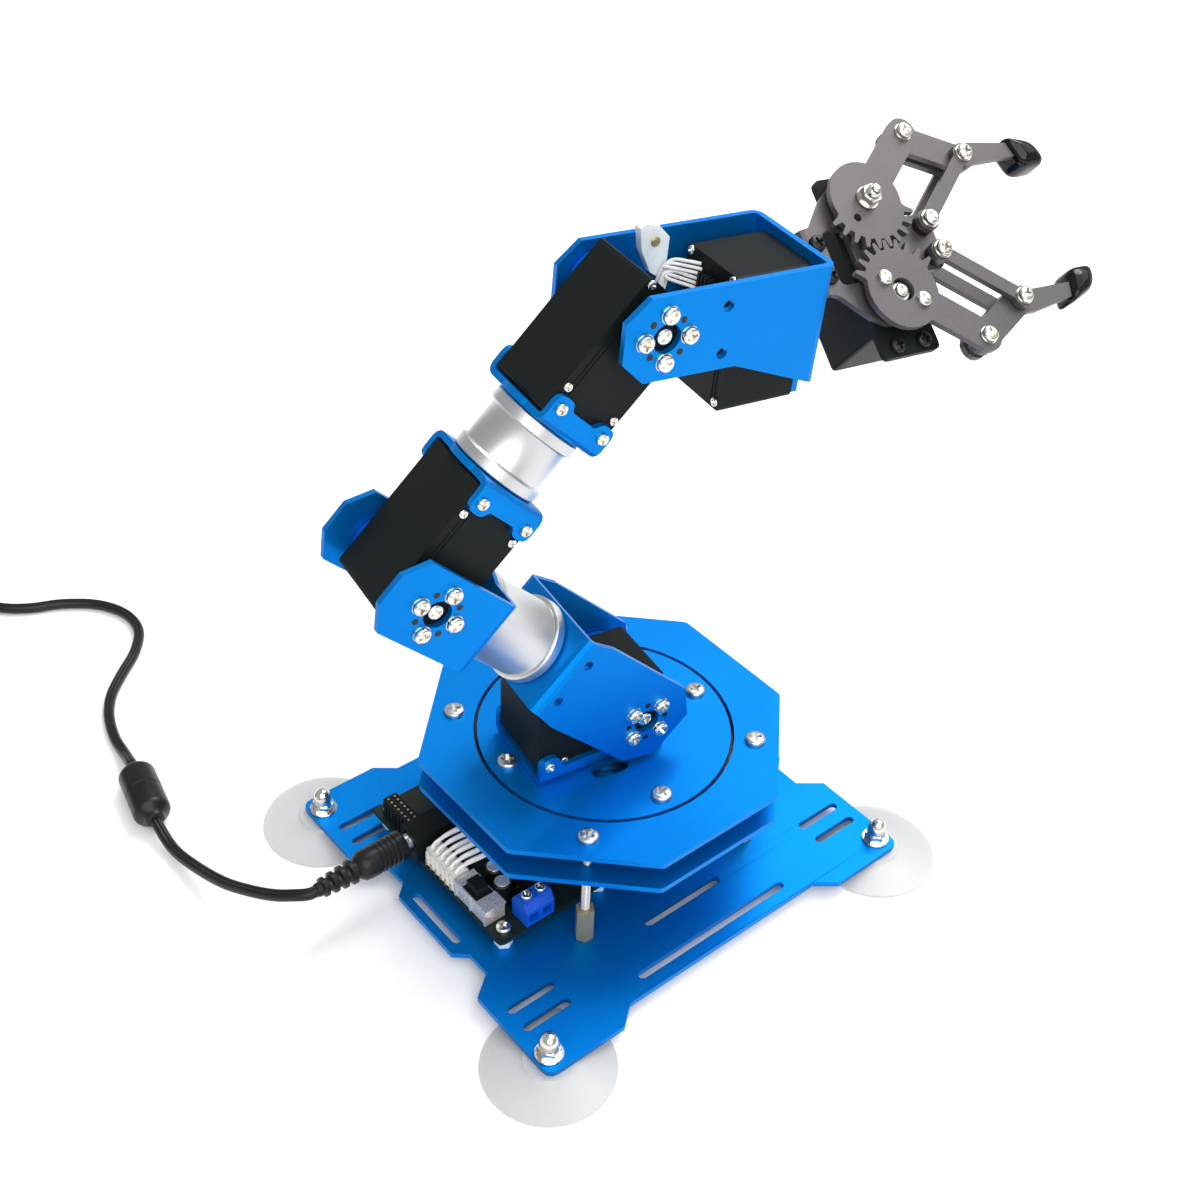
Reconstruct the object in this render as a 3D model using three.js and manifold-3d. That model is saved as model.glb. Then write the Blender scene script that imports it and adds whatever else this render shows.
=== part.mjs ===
// A six-servo desktop robot arm on a flat four-foot base, in millimetres, +Z up.
//
// The origin is the centre of the base plate's underside. +X is the way the arm faces with its
// turntable at zero, and +Y is to its left. The arm stands on four suction cups.
//
// Frames used below:
//   world      the base, the two octagonal decks, the board and the power lead
//   turret     the world turned about Z to the arm's heading
//   link frame x along the link, y square to it in the arm's plane, z along the joint's axis
//   jaw frame  x along the roll axis, y the way the fingers open, z along the gear axes

import * as THREE from 'three';
import { mergeVertices } from 'three/addons/utils/BufferGeometryUtils.js';
import Module from 'manifold-3d';

const wasm = await Module();
wasm.setup();

// Driving dimensions -------------------------------------------------------------------------

const SHEET = 2; // every flat or folded plate
const GAP = 0.3; // between pieces that touch on the real arm
const FLOOR_Z = -4.5; // the surface under the suction cups

const PLATE = { halfX: 77, halfY: 70.5, recessX: 69, recessY: 65, tabX: 73.5 };
const FOOT_X = 72;
const FOOT_Y = 64;

const DECK_RADIUS = 62.7; // corners of the octagons
const LOWER_DECK_Z = 35.5;
const UPPER_DECK_Z = 46.5;
const TURNTABLE_RADIUS = 42;
const PILLAR_RADIUS = 50; // from the turntable's axis to each pillar

const BOARD = { x: -62, y: -26, width: 48, depth: 74, z: 7, thickness: 1.6 };
const JACK = { y: 22.5, z: 16, width: 9 };

const YAW = -9; // headings and link angles in the arm's rest pose, degrees
const LOWER_ARM_ANGLE = 135;
const FOREARM_ANGLE = 44.5;
const WRIST_ANGLE = -3.8;
const ROLL = -52.5;
const CRANK_ANGLE = 40;

const SHOULDER = { forward: 3.7, z: 65.2 };
const LOWER_ARM = 101; // shoulder axis to elbow axis
const FOREARM = 96.4; // elbow axis to wrist axis

const SERVO = { front: 9.5, back: 35.5, half: 12.3, halfDepth: 12.8, boss: 14.6 };
const BRACKET_HALF = 19.3; // outer faces of the two cheeks of each joint bracket
const CUP_HALF = 15.1; // outer faces of the cups that hold a servo's end
const SHOULDER_WEB = 45; // shoulder axis to the outside of its bracket's web
const ELBOW_WEB = 23.7;
const CUP_WEB = 38;
const WRIST_WEB = 54;
const TUBE = { bore: 10, body: 12.5, flange: 13.7, flangeLength: 4 };

const JAW = {
  gearX: 81.1, // wrist axis to the gear centres
  gearY: 14.5,
  pivotX: 100, // fixed pivots of the two links
  pivotY: 5,
  crank: 29.5,
  teeth: 24,
  rootRadius: 12.8,
  tipRadius: 15.75,
  discRadius: 12,
  plateTop: 7.3,
  gearTop: 11.5,
  barTop: 2.5,
};

const LEAD = { radius: 2, sides: 8 };
const COIL = { x: -150, y: 258, radius: 22.5, halfWidth: 6, height: 8 };

// Small helpers ------------------------------------------------------------------------------

const rad = THREE.MathUtils.degToRad;

function finish(color, roughness, metalness) {
  return new THREE.MeshStandardMaterial({ color, roughness, metalness, flatShading: true });
}

const BLUE = finish(0x0a6fdc, 0.35, 0.7);
const BLACK = finish(0x1a1d1e, 0.5, 0);
const SILVER = finish(0xd6d8da, 0.3, 1);
const STEEL = finish(0xc4c4c0, 0.25, 1);
const GUNMETAL = finish(0x5c595b, 0.45, 0.8);
const RUBBER = finish(0x0c0c0d, 0.3, 0);
const CLEAR = finish(0xe6eef0, 0.15, 0);
const BOARD_GREEN = finish(0x14261c, 0.6, 0);
const TERMINAL_BLUE = finish(0x1560d0, 0.4, 0);
const WHITE = finish(0xecebe6, 0.5, 0);

function solid(geometry) {
  geometry.deleteAttribute('normal');
  geometry.deleteAttribute('uv');
  const welded = mergeVertices(geometry, 1e-4);
  return new wasm.Manifold(new wasm.Mesh({
    numProp: 3,
    vertProperties: welded.attributes.position.array,
    triVerts: Uint32Array.from(welded.index.array),
  }));
}

function shapeOf(points, holes = []) {
  const shape = new THREE.Shape(points.map(([x, y]) => new THREE.Vector2(x, y)));
  for (const hole of holes) {
    shape.holes.push(new THREE.Path(hole.map(([x, y]) => new THREE.Vector2(x, y))));
  }
  return shape;
}

function arc(x, y, radius, from, to, steps) {
  const points = [];
  for (let i = 0; i <= steps; i += 1) {
    const angle = rad(from + ((to - from) * i) / steps);
    points.push([x + radius * Math.cos(angle), y + radius * Math.sin(angle)]);
  }
  return points;
}

function circle(x, y, radius, sides = 14) {
  return arc(x, y, radius, 0, 360 - 360 / sides, sides - 1);
}

// A slot of round ends, centred on x, y and running along `angle`.
function slot(x, y, length, width, angle) {
  const reach = (length - width) / 2;
  const cos = Math.cos(rad(angle));
  const sin = Math.sin(rad(angle));
  return [
    ...arc(x + reach * cos, y + reach * sin, width / 2, angle - 90, angle + 90, 3),
    ...arc(x - reach * cos, y - reach * sin, width / 2, angle + 90, angle + 270, 3),
  ];
}

// The outline round two circles: a link with an eye at each end.
function linkOutline([x1, y1], [x2, y2], r1, r2, steps = 9) {
  const along = THREE.MathUtils.radToDeg(Math.atan2(y2 - y1, x2 - x1));
  const lean = THREE.MathUtils.radToDeg(Math.asin((r1 - r2) / Math.hypot(x2 - x1, y2 - y1)));
  return [
    ...arc(x2, y2, r2, along - 90 + lean, along + 90 - lean, steps),
    ...arc(x1, y1, r1, along + 90 - lean, along + 270 + lean, steps),
  ];
}

// Corners given as [x, y, radius] become short curves; a corner with no radius stays sharp.
function rounded(corners, steps = 3) {
  const points = [];
  corners.forEach(([x, y, radius], i) => {
    if (!radius) {
      points.push([x, y]);
      return;
    }
    const before = corners.at(i - 1);
    const after = corners[(i + 1) % corners.length];
    const start = towards([x, y], before, radius);
    const end = towards([x, y], after, radius);
    for (let k = 0; k <= steps; k += 1) {
      const t = k / steps;
      const a = (1 - t) ** 2;
      const b = 2 * t * (1 - t);
      const c = t ** 2;
      points.push([a * start[0] + b * x + c * end[0], a * start[1] + b * y + c * end[1]]);
    }
  });
  return points;
}

function towards([x, y], [toX, toY], distance) {
  const share = distance / Math.hypot(toX - x, toY - y);
  return [x + (toX - x) * share, y + (toY - y) * share];
}

// A flat plate from z up by `thickness`.
function plate(points, z, thickness, holes = []) {
  const geometry = new THREE.ExtrudeGeometry(shapeOf(points, holes), {
    depth: thickness,
    bevelEnabled: false,
  });
  return geometry.translate(0, 0, z);
}

function block(low, high) {
  const size = high.map((value, i) => value - low[i]);
  const geometry = new THREE.BoxGeometry(...size);
  return geometry.translate(...low.map((value, i) => value + size[i] / 2));
}

// A turned piece about Z: its profile is a list of [radius, z].
function turned(profile, sides = 32) {
  const points = profile.map(([radius, z]) => new THREE.Vector2(radius, z));
  return new THREE.LatheGeometry(points, sides).rotateX(Math.PI / 2);
}

function rod(x, y, low, high, radius, sides = 20) {
  return plate(circle(x, y, radius, sides), low, high - low);
}

// The same turned about the link's x axis.
function alongX(geometry) {
  return geometry.rotateY(Math.PI / 2);
}

function joined(...geometries) {
  return geometries.map(solid).reduce((whole, next) => whole.add(next));
}

function cut(body, ...geometries) {
  return geometries.reduce((rest, geometry) => rest.subtract(solid(geometry)), body);
}

const object = new THREE.Group();

function group(parent, position = [0, 0, 0], rotation = [0, 0, 0]) {
  const made = new THREE.Group();
  made.position.set(...position);
  made.rotation.set(...rotation);
  parent.add(made);
  return made;
}

// Adds a named piece to a group, from a geometry or from a joined and cut solid.
function add(parent, name, shape, material, position = [0, 0, 0], rotation = [0, 0, 0]) {
  let geometry = shape;
  if (shape instanceof wasm.Manifold) {
    const mesh = shape.getMesh();
    geometry = new THREE.BufferGeometry();
    geometry.setAttribute('position', new THREE.BufferAttribute(mesh.vertProperties, 3));
    geometry.setIndex(new THREE.BufferAttribute(mesh.triVerts, 1));
  }
  const piece = new THREE.Mesh(geometry, material);
  piece.name = name;
  piece.position.set(...position);
  piece.rotation.set(...rotation);
  parent.add(piece);
}

// Repeated shapes ----------------------------------------------------------------------------

// A servo in its link frame: shaft on z, body running towards +x.
function servo(front, back, half, halfDepth, boss) {
  const corner = 1.2;
  const outline = rounded([
    [-front, -half, corner],
    [back, -half, corner],
    [back, half, corner],
    [-front, half, corner],
  ], 2);
  return joined(
    plate(outline, -halfDepth, 2 * halfDepth),
    rod(0, 0, halfDepth - 1, boss, 6.5, 20),
    rod(0, 0, -boss, 1 - halfDepth, 5, 16),
  );
}

function jointServo() {
  return servo(SERVO.front, SERVO.back, SERVO.half, SERVO.halfDepth, SERVO.boss);
}

// The channel section of a folded bracket, run along y: web at webX, cheeks out to openX.
function channel(webX, openX, half, reachY) {
  const bend = 3;
  const inner = bend - SHEET;
  const side = Math.sign(openX - webX);
  const depth = Math.abs(openX - webX);
  const section = [
    [depth, -half],
    ...arc(bend, bend - half, bend, 270, 180, 3),
    ...arc(bend, half - bend, bend, 180, 90, 3),
    [depth, half],
    [depth, half - SHEET],
    ...arc(bend, half - bend, inner, 90, 180, 3),
    ...arc(bend, bend - half, inner, 180, 270, 3),
    [depth, SHEET - half],
  ].map(([x, z]) => [webX + side * x, z]);
  return plate(section, -reachY, 2 * reachY).rotateX(Math.PI / 2);
}

// A folded bracket: the channel, trimmed to the side outline of its cheeks.
function bracket(webX, openX, half, outline) {
  const reach = half + 1;
  return solid(channel(webX, openX, half, 60)).intersect(solid(plate(outline, -reach, 2 * reach)));
}

// The holes of a joint bracket: one for the shaft and four for the horn screws.
function hornHoles() {
  const reach = BRACKET_HALF + 1;
  const holes = [rod(0, 0, -reach, reach, 4.4, 16)];
  for (let i = 0; i < 4; i += 1) {
    const angle = rad(90 * i);
    holes.push(rod(7 * Math.cos(angle), 7 * Math.sin(angle), -reach, reach, 1.5, 8));
  }
  return holes;
}

// A horn disc beside the servo's boss, clear of the cup's cheek, with its hub on the shaft.
function horn() {
  const inside = BRACKET_HALF - SHEET - GAP;
  return joined(
    rod(0, 0, CUP_HALF + GAP, inside, 10, 28),
    rod(0, 0, SERVO.boss + GAP, inside - 0.5, 5, 16),
  );
}

// A cup round one end of a servo: a web with a round seat for the tube, and two eared cheeks.
function servoCup() {
  const ear = 28.3;
  const notch = 30.8;
  const outline = rounded([
    [CUP_WEB + 1, -12.4],
    [CUP_WEB + 1, 12.4],
    [ear, 12.4, 2.8],
    [ear, 6.2, 2],
    [notch, 5.2, 1],
    [notch, -5.2, 1],
    [ear, -6.2, 2],
    [ear, -12.4, 2.8],
  ]);
  const seat = alongX(rod(0, 0, CUP_WEB - SHEET, CUP_WEB, 14, 32));
  const holes = [-9.3, 9.3].map((y) => rod(31.8, y, -20, 20, 1.1, 10));
  return cut(bracket(CUP_WEB, ear, CUP_HALF, outline).add(solid(seat)), ...holes);
}

// A turned link tube with a flange at each end, its bore open, starting at x.
function tube(x, length) {
  const { bore, body, flange, flangeLength } = TUBE;
  const profile = [
    [bore, 0],
    [flange, 0],
    [flange, flangeLength],
    [body, flangeLength + 0.4],
    [body, length - flangeLength - 0.4],
    [flange, length - flangeLength],
    [flange, length],
    [bore, length],
    [bore, 0],
  ];
  return alongX(turned(profile, 32)).translate(x, 0, 0);
}

// Base ---------------------------------------------------------------------------------------

function basePlate() {
  const { halfX, halfY, recessX, recessY, tabX } = PLATE;
  const quarter = [
    [tabX, 15],
    [recessX, 19],
    [recessX, 28],
    [halfX, 34],
    [halfX, halfY, 4],
    [47.5, halfY],
    [40.5, recessY],
  ];
  const mirrored = (x, y) => quarter.map(([cornerX, cornerY, r]) => [x * cornerX, y * cornerY, r]);
  const outline = rounded([
    ...mirrored(1, 1),
    ...mirrored(-1, 1).reverse(),
    ...mirrored(-1, -1),
    ...mirrored(1, -1).reverse(),
  ]);
  const holes = [];
  for (const side of [-1, 1]) {
    holes.push(slot(0, side * 59, 64, 3, 0), slot(0, side * 44, 33, 3, 0));
    holes.push(slot(side * 69, 0, 26, 3, 90));
    for (const end of [-1, 1]) {
      holes.push(circle(side * FOOT_X, end * FOOT_Y, 2.4));
      holes.push(slot(side * 63.7, end * 52.4, 18.5, 3, 0), slot(side * 63.7, end * 44.3, 18.5, 3, 0));
    }
  }
  return plate(outline, 0, SHEET, holes);
}

// A suction cup with its stud, z from the plate's underside.
function suctionCup() {
  const stud = 2;
  return turned([
    [0, -2.1],
    [12, -2.7],
    [19.6, FLOOR_Z],
    [21.3, FLOOR_Z],
    [21.3, FLOOR_Z + 0.6],
    [8.5, -1.3],
    [8, -GAP],
    [stud, -GAP],
    [stud, SHEET + 3],
    [0, SHEET + 3],
  ], 26);
}

function octagon(holes, z) {
  const corners = [];
  for (let i = 0; i < 8; i += 1) {
    const angle = rad(22.5 + 45 * i);
    corners.push([DECK_RADIUS * Math.cos(angle), DECK_RADIUS * Math.sin(angle), 1]);
  }
  return plate(rounded(corners, 2), z, SHEET, holes);
}

function pillarPlaces() {
  return [45, 135, 225, 315].map((angle) => [
    PILLAR_RADIUS * Math.cos(rad(angle)),
    PILLAR_RADIUS * Math.sin(rad(angle)),
  ]);
}

// A long screw down through both decks into a hexagonal standoff on the base plate.
function pillar() {
  const standoffTop = 16;
  const head = UPPER_DECK_Z + SHEET + GAP;
  const screw = turned([
    [0, standoffTop - 1],
    [1.5, standoffTop - 1],
    [1.5, head],
    [3, head],
    [2.9, head + 1.2],
    [1.9, head + 2.1],
    [0, head + 2.3],
  ], 18);
  return joined(plate(circle(0, 0, 3.2, 6), SHEET + GAP, standoffTop - SHEET - GAP), screw);
}

function addBase() {
  add(object, 'base_plate', basePlate(), BLUE);
  const ends = { front: 1, rear: -1 };
  const sides = { left: 1, right: -1 };
  for (const [end, x] of Object.entries(ends)) {
    for (const [side, y] of Object.entries(sides)) {
      add(object, `suction_cup_${end}_${side}`, suctionCup(), CLEAR, [x * FOOT_X, y * FOOT_Y, 0]);
    }
  }
  const holes = pillarPlaces().map(([x, y]) => circle(x, y, 1.9, 12));
  add(object, 'lower_deck', octagon([...holes, circle(0, 0, 8, 28)], LOWER_DECK_Z), BLUE);
  const opening = circle(0, 0, TURNTABLE_RADIUS + 1.2, 48);
  add(object, 'upper_deck', octagon([...holes, opening], UPPER_DECK_Z), BLUE);
  pillarPlaces().forEach(([x, y], i) => {
    add(object, `deck_pillar_${i + 1}`, pillar(), STEEL, [x, y, 0]);
  });
  const low = LOWER_DECK_Z + SHEET + GAP;
  const high = UPPER_DECK_Z - GAP;
  add(object, 'bearing_outer_race', ring(40, 45.5, low, high), STEEL);
  const servoZ = LOWER_DECK_Z - GAP - SERVO.halfDepth;
  add(object, 'yaw_servo', jointServo(), BLACK, [0, 0, servoZ]);
}

function ring(inner, outer, low, high) {
  return turned([[inner, low], [outer, low], [outer, high], [inner, high], [inner, low]], 36);
}

// Control board ------------------------------------------------------------------------------

function controlBoard() {
  const { x, y, width, depth, z, thickness } = BOARD;
  const inset = 4.5;
  const outline = rounded([
    [x, y, 2],
    [x + width, y, 2],
    [x + width, y + depth, 2],
    [x, y + depth, 2],
  ], 2);
  const holes = [circle(...pillarPlaces()[1], 4.6, 20)];
  for (const holeX of [x + inset, x + width - inset]) {
    for (const holeY of [y + inset, y + depth - inset]) {
      holes.push(circle(holeX, holeY, 1.7, 12));
    }
  }
  return plate(outline, z, thickness, holes);
}

function addBoard() {
  const top = BOARD.z + BOARD.thickness + GAP;
  add(object, 'control_board', controlBoard(), BOARD_GREEN);
  const jackFront = -63.8;
  const half = JACK.width / 2;
  const jack = solid(block([jackFront, JACK.y - half, top], [-50, JACK.y + half, JACK.z + 3.8]));
  const socket = alongX(rod(0, 0, 0, 9, 3.1, 16)).translate(jackFront - 1, JACK.y, JACK.z);
  add(object, 'power_jack', cut(jack, socket), BLACK);
  const ports = rounded([[-61.5, 0.3, 1], [-54, 0.3, 1], [-54, 16.6, 1], [-61.5, 16.6, 1]], 1);
  add(object, 'servo_ports', plate(ports, top, 16 - top), WHITE);
  const shell = solid(block([-61.5, -17.5, top], [-54, -0.3, 15.4]));
  const slider = block([-59.4, -10.5, 15], [-56.2, -5.5, 18.5]);
  add(object, 'power_switch', shell.add(solid(slider)), STEEL);
  const clamp = rounded([[-26, top], [-18, top], [-18, 16.5, 1], [-20, 18.6, 1], [-24, 18.6, 1], [-26, 15]], 2);
  const terminal = solid(plate(clamp, 0, 11).rotateX(Math.PI / 2).rotateZ(Math.PI / 2));
  const mouths = [2.8, 8.2].map((x) => block([x - 1.7, -27, 10.4], [x + 1.7, -22.5, 13.6]));
  add(object, 'screw_terminal', cut(terminal, ...mouths), TERMINAL_BLUE, [-51.5, 0, 0]);
}

// Turntable ----------------------------------------------------------------------------------

const turret = group(object, [0, 0, 0], [0, 0, rad(YAW)]);

// A group on a joint's axis whose x runs along the link, z along the axis.
function linkFrame(forward, z, angle) {
  return group(turret, [forward, 0, z], [Math.PI / 2, 0, rad(angle)]);
}

function addTurntable() {
  const low = LOWER_DECK_Z + SHEET + GAP;
  const wireSlot = slot(-8, -17.5, 14, 6, 0);
  const top = plate(circle(0, 0, TURNTABLE_RADIUS, 48), UPPER_DECK_Z, SHEET, [wireSlot]);
  add(turret, 'turntable', top, BLUE);
  add(turret, 'bearing_inner_race', ring(33, 39.6, low + 0.5, UPPER_DECK_Z - GAP), STEEL);
  const hub = turned([
    [0, low],
    [10, low],
    [10, low + 3.5],
    [7, low + 3.5],
    [7, UPPER_DECK_Z - GAP],
    [0, UPPER_DECK_Z - GAP],
  ]);
  add(turret, 'yaw_horn', hub, SILVER);

  const cradleFrame = linkFrame(SHOULDER.forward, SHOULDER.z, -90);
  const foot = SHOULDER.z - UPPER_DECK_Z - SHEET - GAP;
  const cheek = foot - 6;
  const ear = foot - 11;
  const outline = rounded([
    [foot + 1, -36],
    [ear, -36, 3],
    [ear, -29.5, 2.5],
    [cheek, -28, 1.5],
    [cheek, 0.5, 1.5],
    [ear, 2, 3],
    [ear, 10, 3],
    [foot + 1, 10],
  ]);
  add(cradleFrame, 'shoulder_cradle', bracket(foot, ear, CUP_HALF, outline), BLUE);
  const servoFrame = linkFrame(SHOULDER.forward, SHOULDER.z, 180);
  add(servoFrame, 'shoulder_servo', jointServo(), BLACK);
}

// Lower arm ----------------------------------------------------------------------------------

function reach(start, length, angle) {
  return {
    forward: start.forward + length * Math.cos(rad(angle)),
    z: start.z + length * Math.sin(rad(angle)),
  };
}

const ELBOW = reach(SHOULDER, LOWER_ARM, LOWER_ARM_ANGLE);
const WRIST = reach(ELBOW, FOREARM, FOREARM_ANGLE);

function shoulderBracket() {
  const outline = [
    [-13.5, -8.5],
    [-4, -15.5],
    [34, -15.5],
    [42, -14],
    [46, -14],
    [46, 14],
    [42, 14],
    [34, 15.5],
    [-4, 15.5],
    [-13.5, 8.5],
  ];
  const spare = [-7.2, 7.2].map((y) => rod(39, y, -20, 20, 1.6, 12));
  return cut(bracket(SHOULDER_WEB, -14, BRACKET_HALF, outline), ...hornHoles(), ...spare);
}

function elbowBracket() {
  const outline = [
    [18.7, -5],
    [18.7, 5],
    [13, 12.3],
    [-25, 12.3],
    [-25, -12.3],
    [13, -12.3],
  ];
  const body = bracket(-ELBOW_WEB, 19, BRACKET_HALF, outline);
  const seat = alongX(rod(0, 0, -ELBOW_WEB, SHEET - ELBOW_WEB, 14, 32));
  return cut(body.add(solid(seat)), ...hornHoles());
}

function addLowerArm() {
  const lower = linkFrame(SHOULDER.forward, SHOULDER.z, LOWER_ARM_ANGLE);
  add(lower, 'shoulder_horn', horn(), BLACK);
  add(lower, 'shoulder_idler', horn(), BLUE, [0, 0, 0], [Math.PI, 0, 0]);
  add(lower, 'shoulder_bracket', shoulderBracket(), BLUE);
  const start = SHOULDER_WEB + GAP;
  add(lower, 'lower_arm_tube', tube(start, LOWER_ARM - ELBOW_WEB - GAP - start), SILVER);
  const upper = linkFrame(ELBOW.forward, ELBOW.z, LOWER_ARM_ANGLE);
  add(upper, 'elbow_bracket', elbowBracket(), BLUE);
  add(upper, 'elbow_horn', horn(), BLACK);
  add(upper, 'elbow_idler', horn(), BLUE, [0, 0, 0], [Math.PI, 0, 0]);
}

// Forearm ------------------------------------------------------------------------------------

function addForearm() {
  const lower = linkFrame(ELBOW.forward, ELBOW.z, FOREARM_ANGLE);
  add(lower, 'elbow_servo', jointServo(), BLACK);
  add(lower, 'forearm_lower_cup', servoCup(), BLUE);
  const start = CUP_WEB + GAP;
  add(lower, 'forearm_tube', tube(start, FOREARM - 2 * start), SILVER);
  const upper = linkFrame(WRIST.forward, WRIST.z, FOREARM_ANGLE + 180);
  add(upper, 'forearm_upper_cup', servoCup(), BLUE);
  add(upper, 'wrist_servo', jointServo(), BLACK);
}

// Wrist --------------------------------------------------------------------------------------

function wristBracket() {
  const outline = [
    [-13.2, -5.5],
    [-6, -12.4],
    [24, -12.9],
    [WRIST_WEB + 1, -25],
    [WRIST_WEB + 1, 12.5],
    [-6, 12.5],
    [-13.2, 6.2],
  ];
  const body = bracket(WRIST_WEB, -14, BRACKET_HALF, outline);
  const tab = block([WRIST_WEB - SHEET, -31, -12], [WRIST_WEB, -20, 12]);
  const shaft = alongX(rod(0, 0, WRIST_WEB - 4, WRIST_WEB + 1, 7.5, 28));
  const spare = [-8, 6.2].map((y) => rod(18.8, y, -20, 20, 1.7, 12));
  return cut(body.add(solid(tab)), ...hornHoles(), shaft, ...spare);
}

function addWrist() {
  const wrist = linkFrame(WRIST.forward, WRIST.z, WRIST_ANGLE);
  add(wrist, 'wrist_bracket', wristBracket(), BLUE);
  add(wrist, 'wrist_horn', horn(), BLACK);
  add(wrist, 'wrist_idler', horn(), BLUE, [0, 0, 0], [Math.PI, 0, 0]);
  const back = WRIST_WEB - SHEET - GAP - SERVO.halfDepth;
  const down = group(wrist, [back, 0, 0], [0, Math.PI / 2, 0]);
  const rollServo = servo(SERVO.front, 32, SERVO.half, SERVO.halfDepth, SERVO.boss);
  add(down, 'roll_servo', rollServo, BLACK, [0, 0, 0], [0, 0, -Math.PI / 2]);
  const jaw = group(wrist, [0, 0, 0], [rad(ROLL), 0, 0]);
  const hornBase = WRIST_WEB + GAP;
  const flange = turned([
    [0, hornBase - 0.1],
    [6.5, hornBase - 0.1],
    [10, hornBase + 0.5],
    [10, hornBase + 2.6],
    [0, hornBase + 2.6],
  ]);
  add(jaw, 'roll_horn', alongX(flange), BLACK);
  return jaw;
}

// Gripper ------------------------------------------------------------------------------------

const FRAME_BACK = 57.4; // back face of the gripper frame's flange

function gripperFrame() {
  const top = JAW.plateTop;
  const bottom = top - SHEET;
  const outline = rounded([
    [FRAME_BACK + 3, -10.5],
    [62, -11, 1.5],
    [69.5, -19.3, 1.5],
    [75, -22.8, 1.5],
    [88, -22.8, 2],
    [94, -9, 2],
    [103.7, -9, 4],
    [103.7, 9, 4],
    [94, 9, 2],
    [88, 22.8, 2],
    [75, 22.8, 1.5],
    [69.5, 19.3, 1.5],
    [62, 11, 1.5],
    [FRAME_BACK + 3, 10.5],
  ]);
  const window = [[64.3, -8.5, 2], [72.5, -8.5, 2], [72.5, 8.5, 2], [64.3, 8.5, 2]];
  const holes = [
    rounded(window, 2),
    circle(JAW.gearX, -JAW.gearY, 7, 24),
    circle(JAW.gearX, JAW.gearY, 2.1, 12),
    circle(JAW.pivotX, -JAW.pivotY, 2.1, 12),
    circle(JAW.pivotX, JAW.pivotY, 2.1, 12),
  ];
  const bend = 3;
  const fold = [
    [FRAME_BACK + 3.5, top],
    ...arc(FRAME_BACK + bend, top - bend, bend, 90, 180, 4),
    [FRAME_BACK, -12.5],
    [FRAME_BACK + SHEET, -12.5],
    ...arc(FRAME_BACK + bend, top - bend, bend - SHEET, 180, 90, 4),
    [FRAME_BACK + 3.5, bottom],
  ];
  const flange = plate(fold, -10.5, 21).rotateX(Math.PI / 2);
  const screws = [];
  for (const [y, z] of [[7, 0], [-7, 0], [0, -7]]) {
    screws.push(alongX(rod(-z, y, FRAME_BACK - 1, FRAME_BACK + 3, 1.5, 10)));
  }
  return cut(joined(plate(outline, bottom, SHEET, holes), flange), ...screws);
}

function crankPin(side) {
  return [
    JAW.gearX + JAW.crank * Math.cos(rad(CRANK_ANGLE)),
    side * (JAW.gearY + JAW.crank * Math.sin(rad(CRANK_ANGLE))),
  ];
}

function fingerPin(side) {
  return [
    JAW.pivotX + JAW.crank * Math.cos(rad(CRANK_ANGLE)),
    side * (JAW.pivotY + JAW.crank * Math.sin(rad(CRANK_ANGLE))),
  ];
}

// A disc with teeth of 360 / JAW.teeth degrees, about the angles in `teeth`.
function toothedDisc(teeth) {
  const { rootRadius, tipRadius, discRadius } = JAW;
  const rootHalf = 4.7;
  const tipHalf = 1.9;
  const pitch = 360 / JAW.teeth;
  const points = [];
  const at = (radius, angle) => {
    points.push([radius * Math.cos(rad(angle)), radius * Math.sin(rad(angle))]);
  };
  for (const angle of teeth) {
    at(rootRadius, angle - rootHalf);
    at(tipRadius, angle - tipHalf);
    at(tipRadius, angle + tipHalf);
    at(rootRadius, angle + rootHalf);
  }
  const first = teeth[0];
  const last = teeth.at(-1);
  return [...points, ...arc(0, 0, discRadius, last + pitch / 2, first + 360 - pitch / 2, 20)];
}

// One geared crank: toothed disc, arm, and the pin that the finger turns on.
function gearedCrank(side, teeth) {
  const centre = [JAW.gearX, side * JAW.gearY];
  const pin = crankPin(side);
  const low = JAW.gearTop - SHEET;
  const disc = plate(toothedDisc(teeth), low, SHEET).translate(...centre, 0);
  const arm = plate(linkOutline(centre, pin, 4.9, 4.8), low, SHEET);
  return joined(disc, arm, rod(...pin, 0.7, low + 1, 1.8, 14));
}

// The two bars of a link, held apart by the pin that the finger turns on.
function fingerLink(side) {
  const pivot = [JAW.pivotX, side * JAW.pivotY];
  const pin = fingerPin(side);
  const bar = (z) => joined(
    plate(linkOutline(pivot, pin, 2.2, 2.2, 4), z, SHEET),
    rod(...pivot, z, z + SHEET, 3.5, 16),
    rod(...pin, z, z + SHEET, 3.5, 16),
  );
  const low = JAW.barTop - SHEET;
  const post = rod(...pin, low + 0.5, JAW.gearTop - 0.5, 1.8, 14);
  const bore = rod(...pivot, low - 1, JAW.gearTop + 1, 2.1, 12);
  return cut(bar(low).add(bar(JAW.gearTop - SHEET)).add(solid(post)), bore);
}

// A fixed pivot: a screw through the frame's nose with a collar on each side of it.
function linkPivot(side) {
  const { plateTop, gearTop, barTop } = JAW;
  const headZ = gearTop + GAP;
  return turned([
    [0, -1.5],
    [1.8, -1.5],
    [1.8, barTop + GAP],
    [3.2, barTop + GAP],
    [3.2, plateTop - SHEET - GAP],
    [1.8, plateTop - SHEET - GAP],
    [1.8, plateTop + GAP],
    [3.2, plateTop + GAP],
    [3.2, gearTop - SHEET - GAP],
    [1.8, gearTop - SHEET - GAP],
    [1.8, headZ],
    [2.9, headZ],
    [2.9, headZ + 1.3],
    [1.8, headZ + 2.2],
    [0, headZ + 2.3],
  ], 10).translate(JAW.pivotX, side * JAW.pivotY, 0);
}

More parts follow.
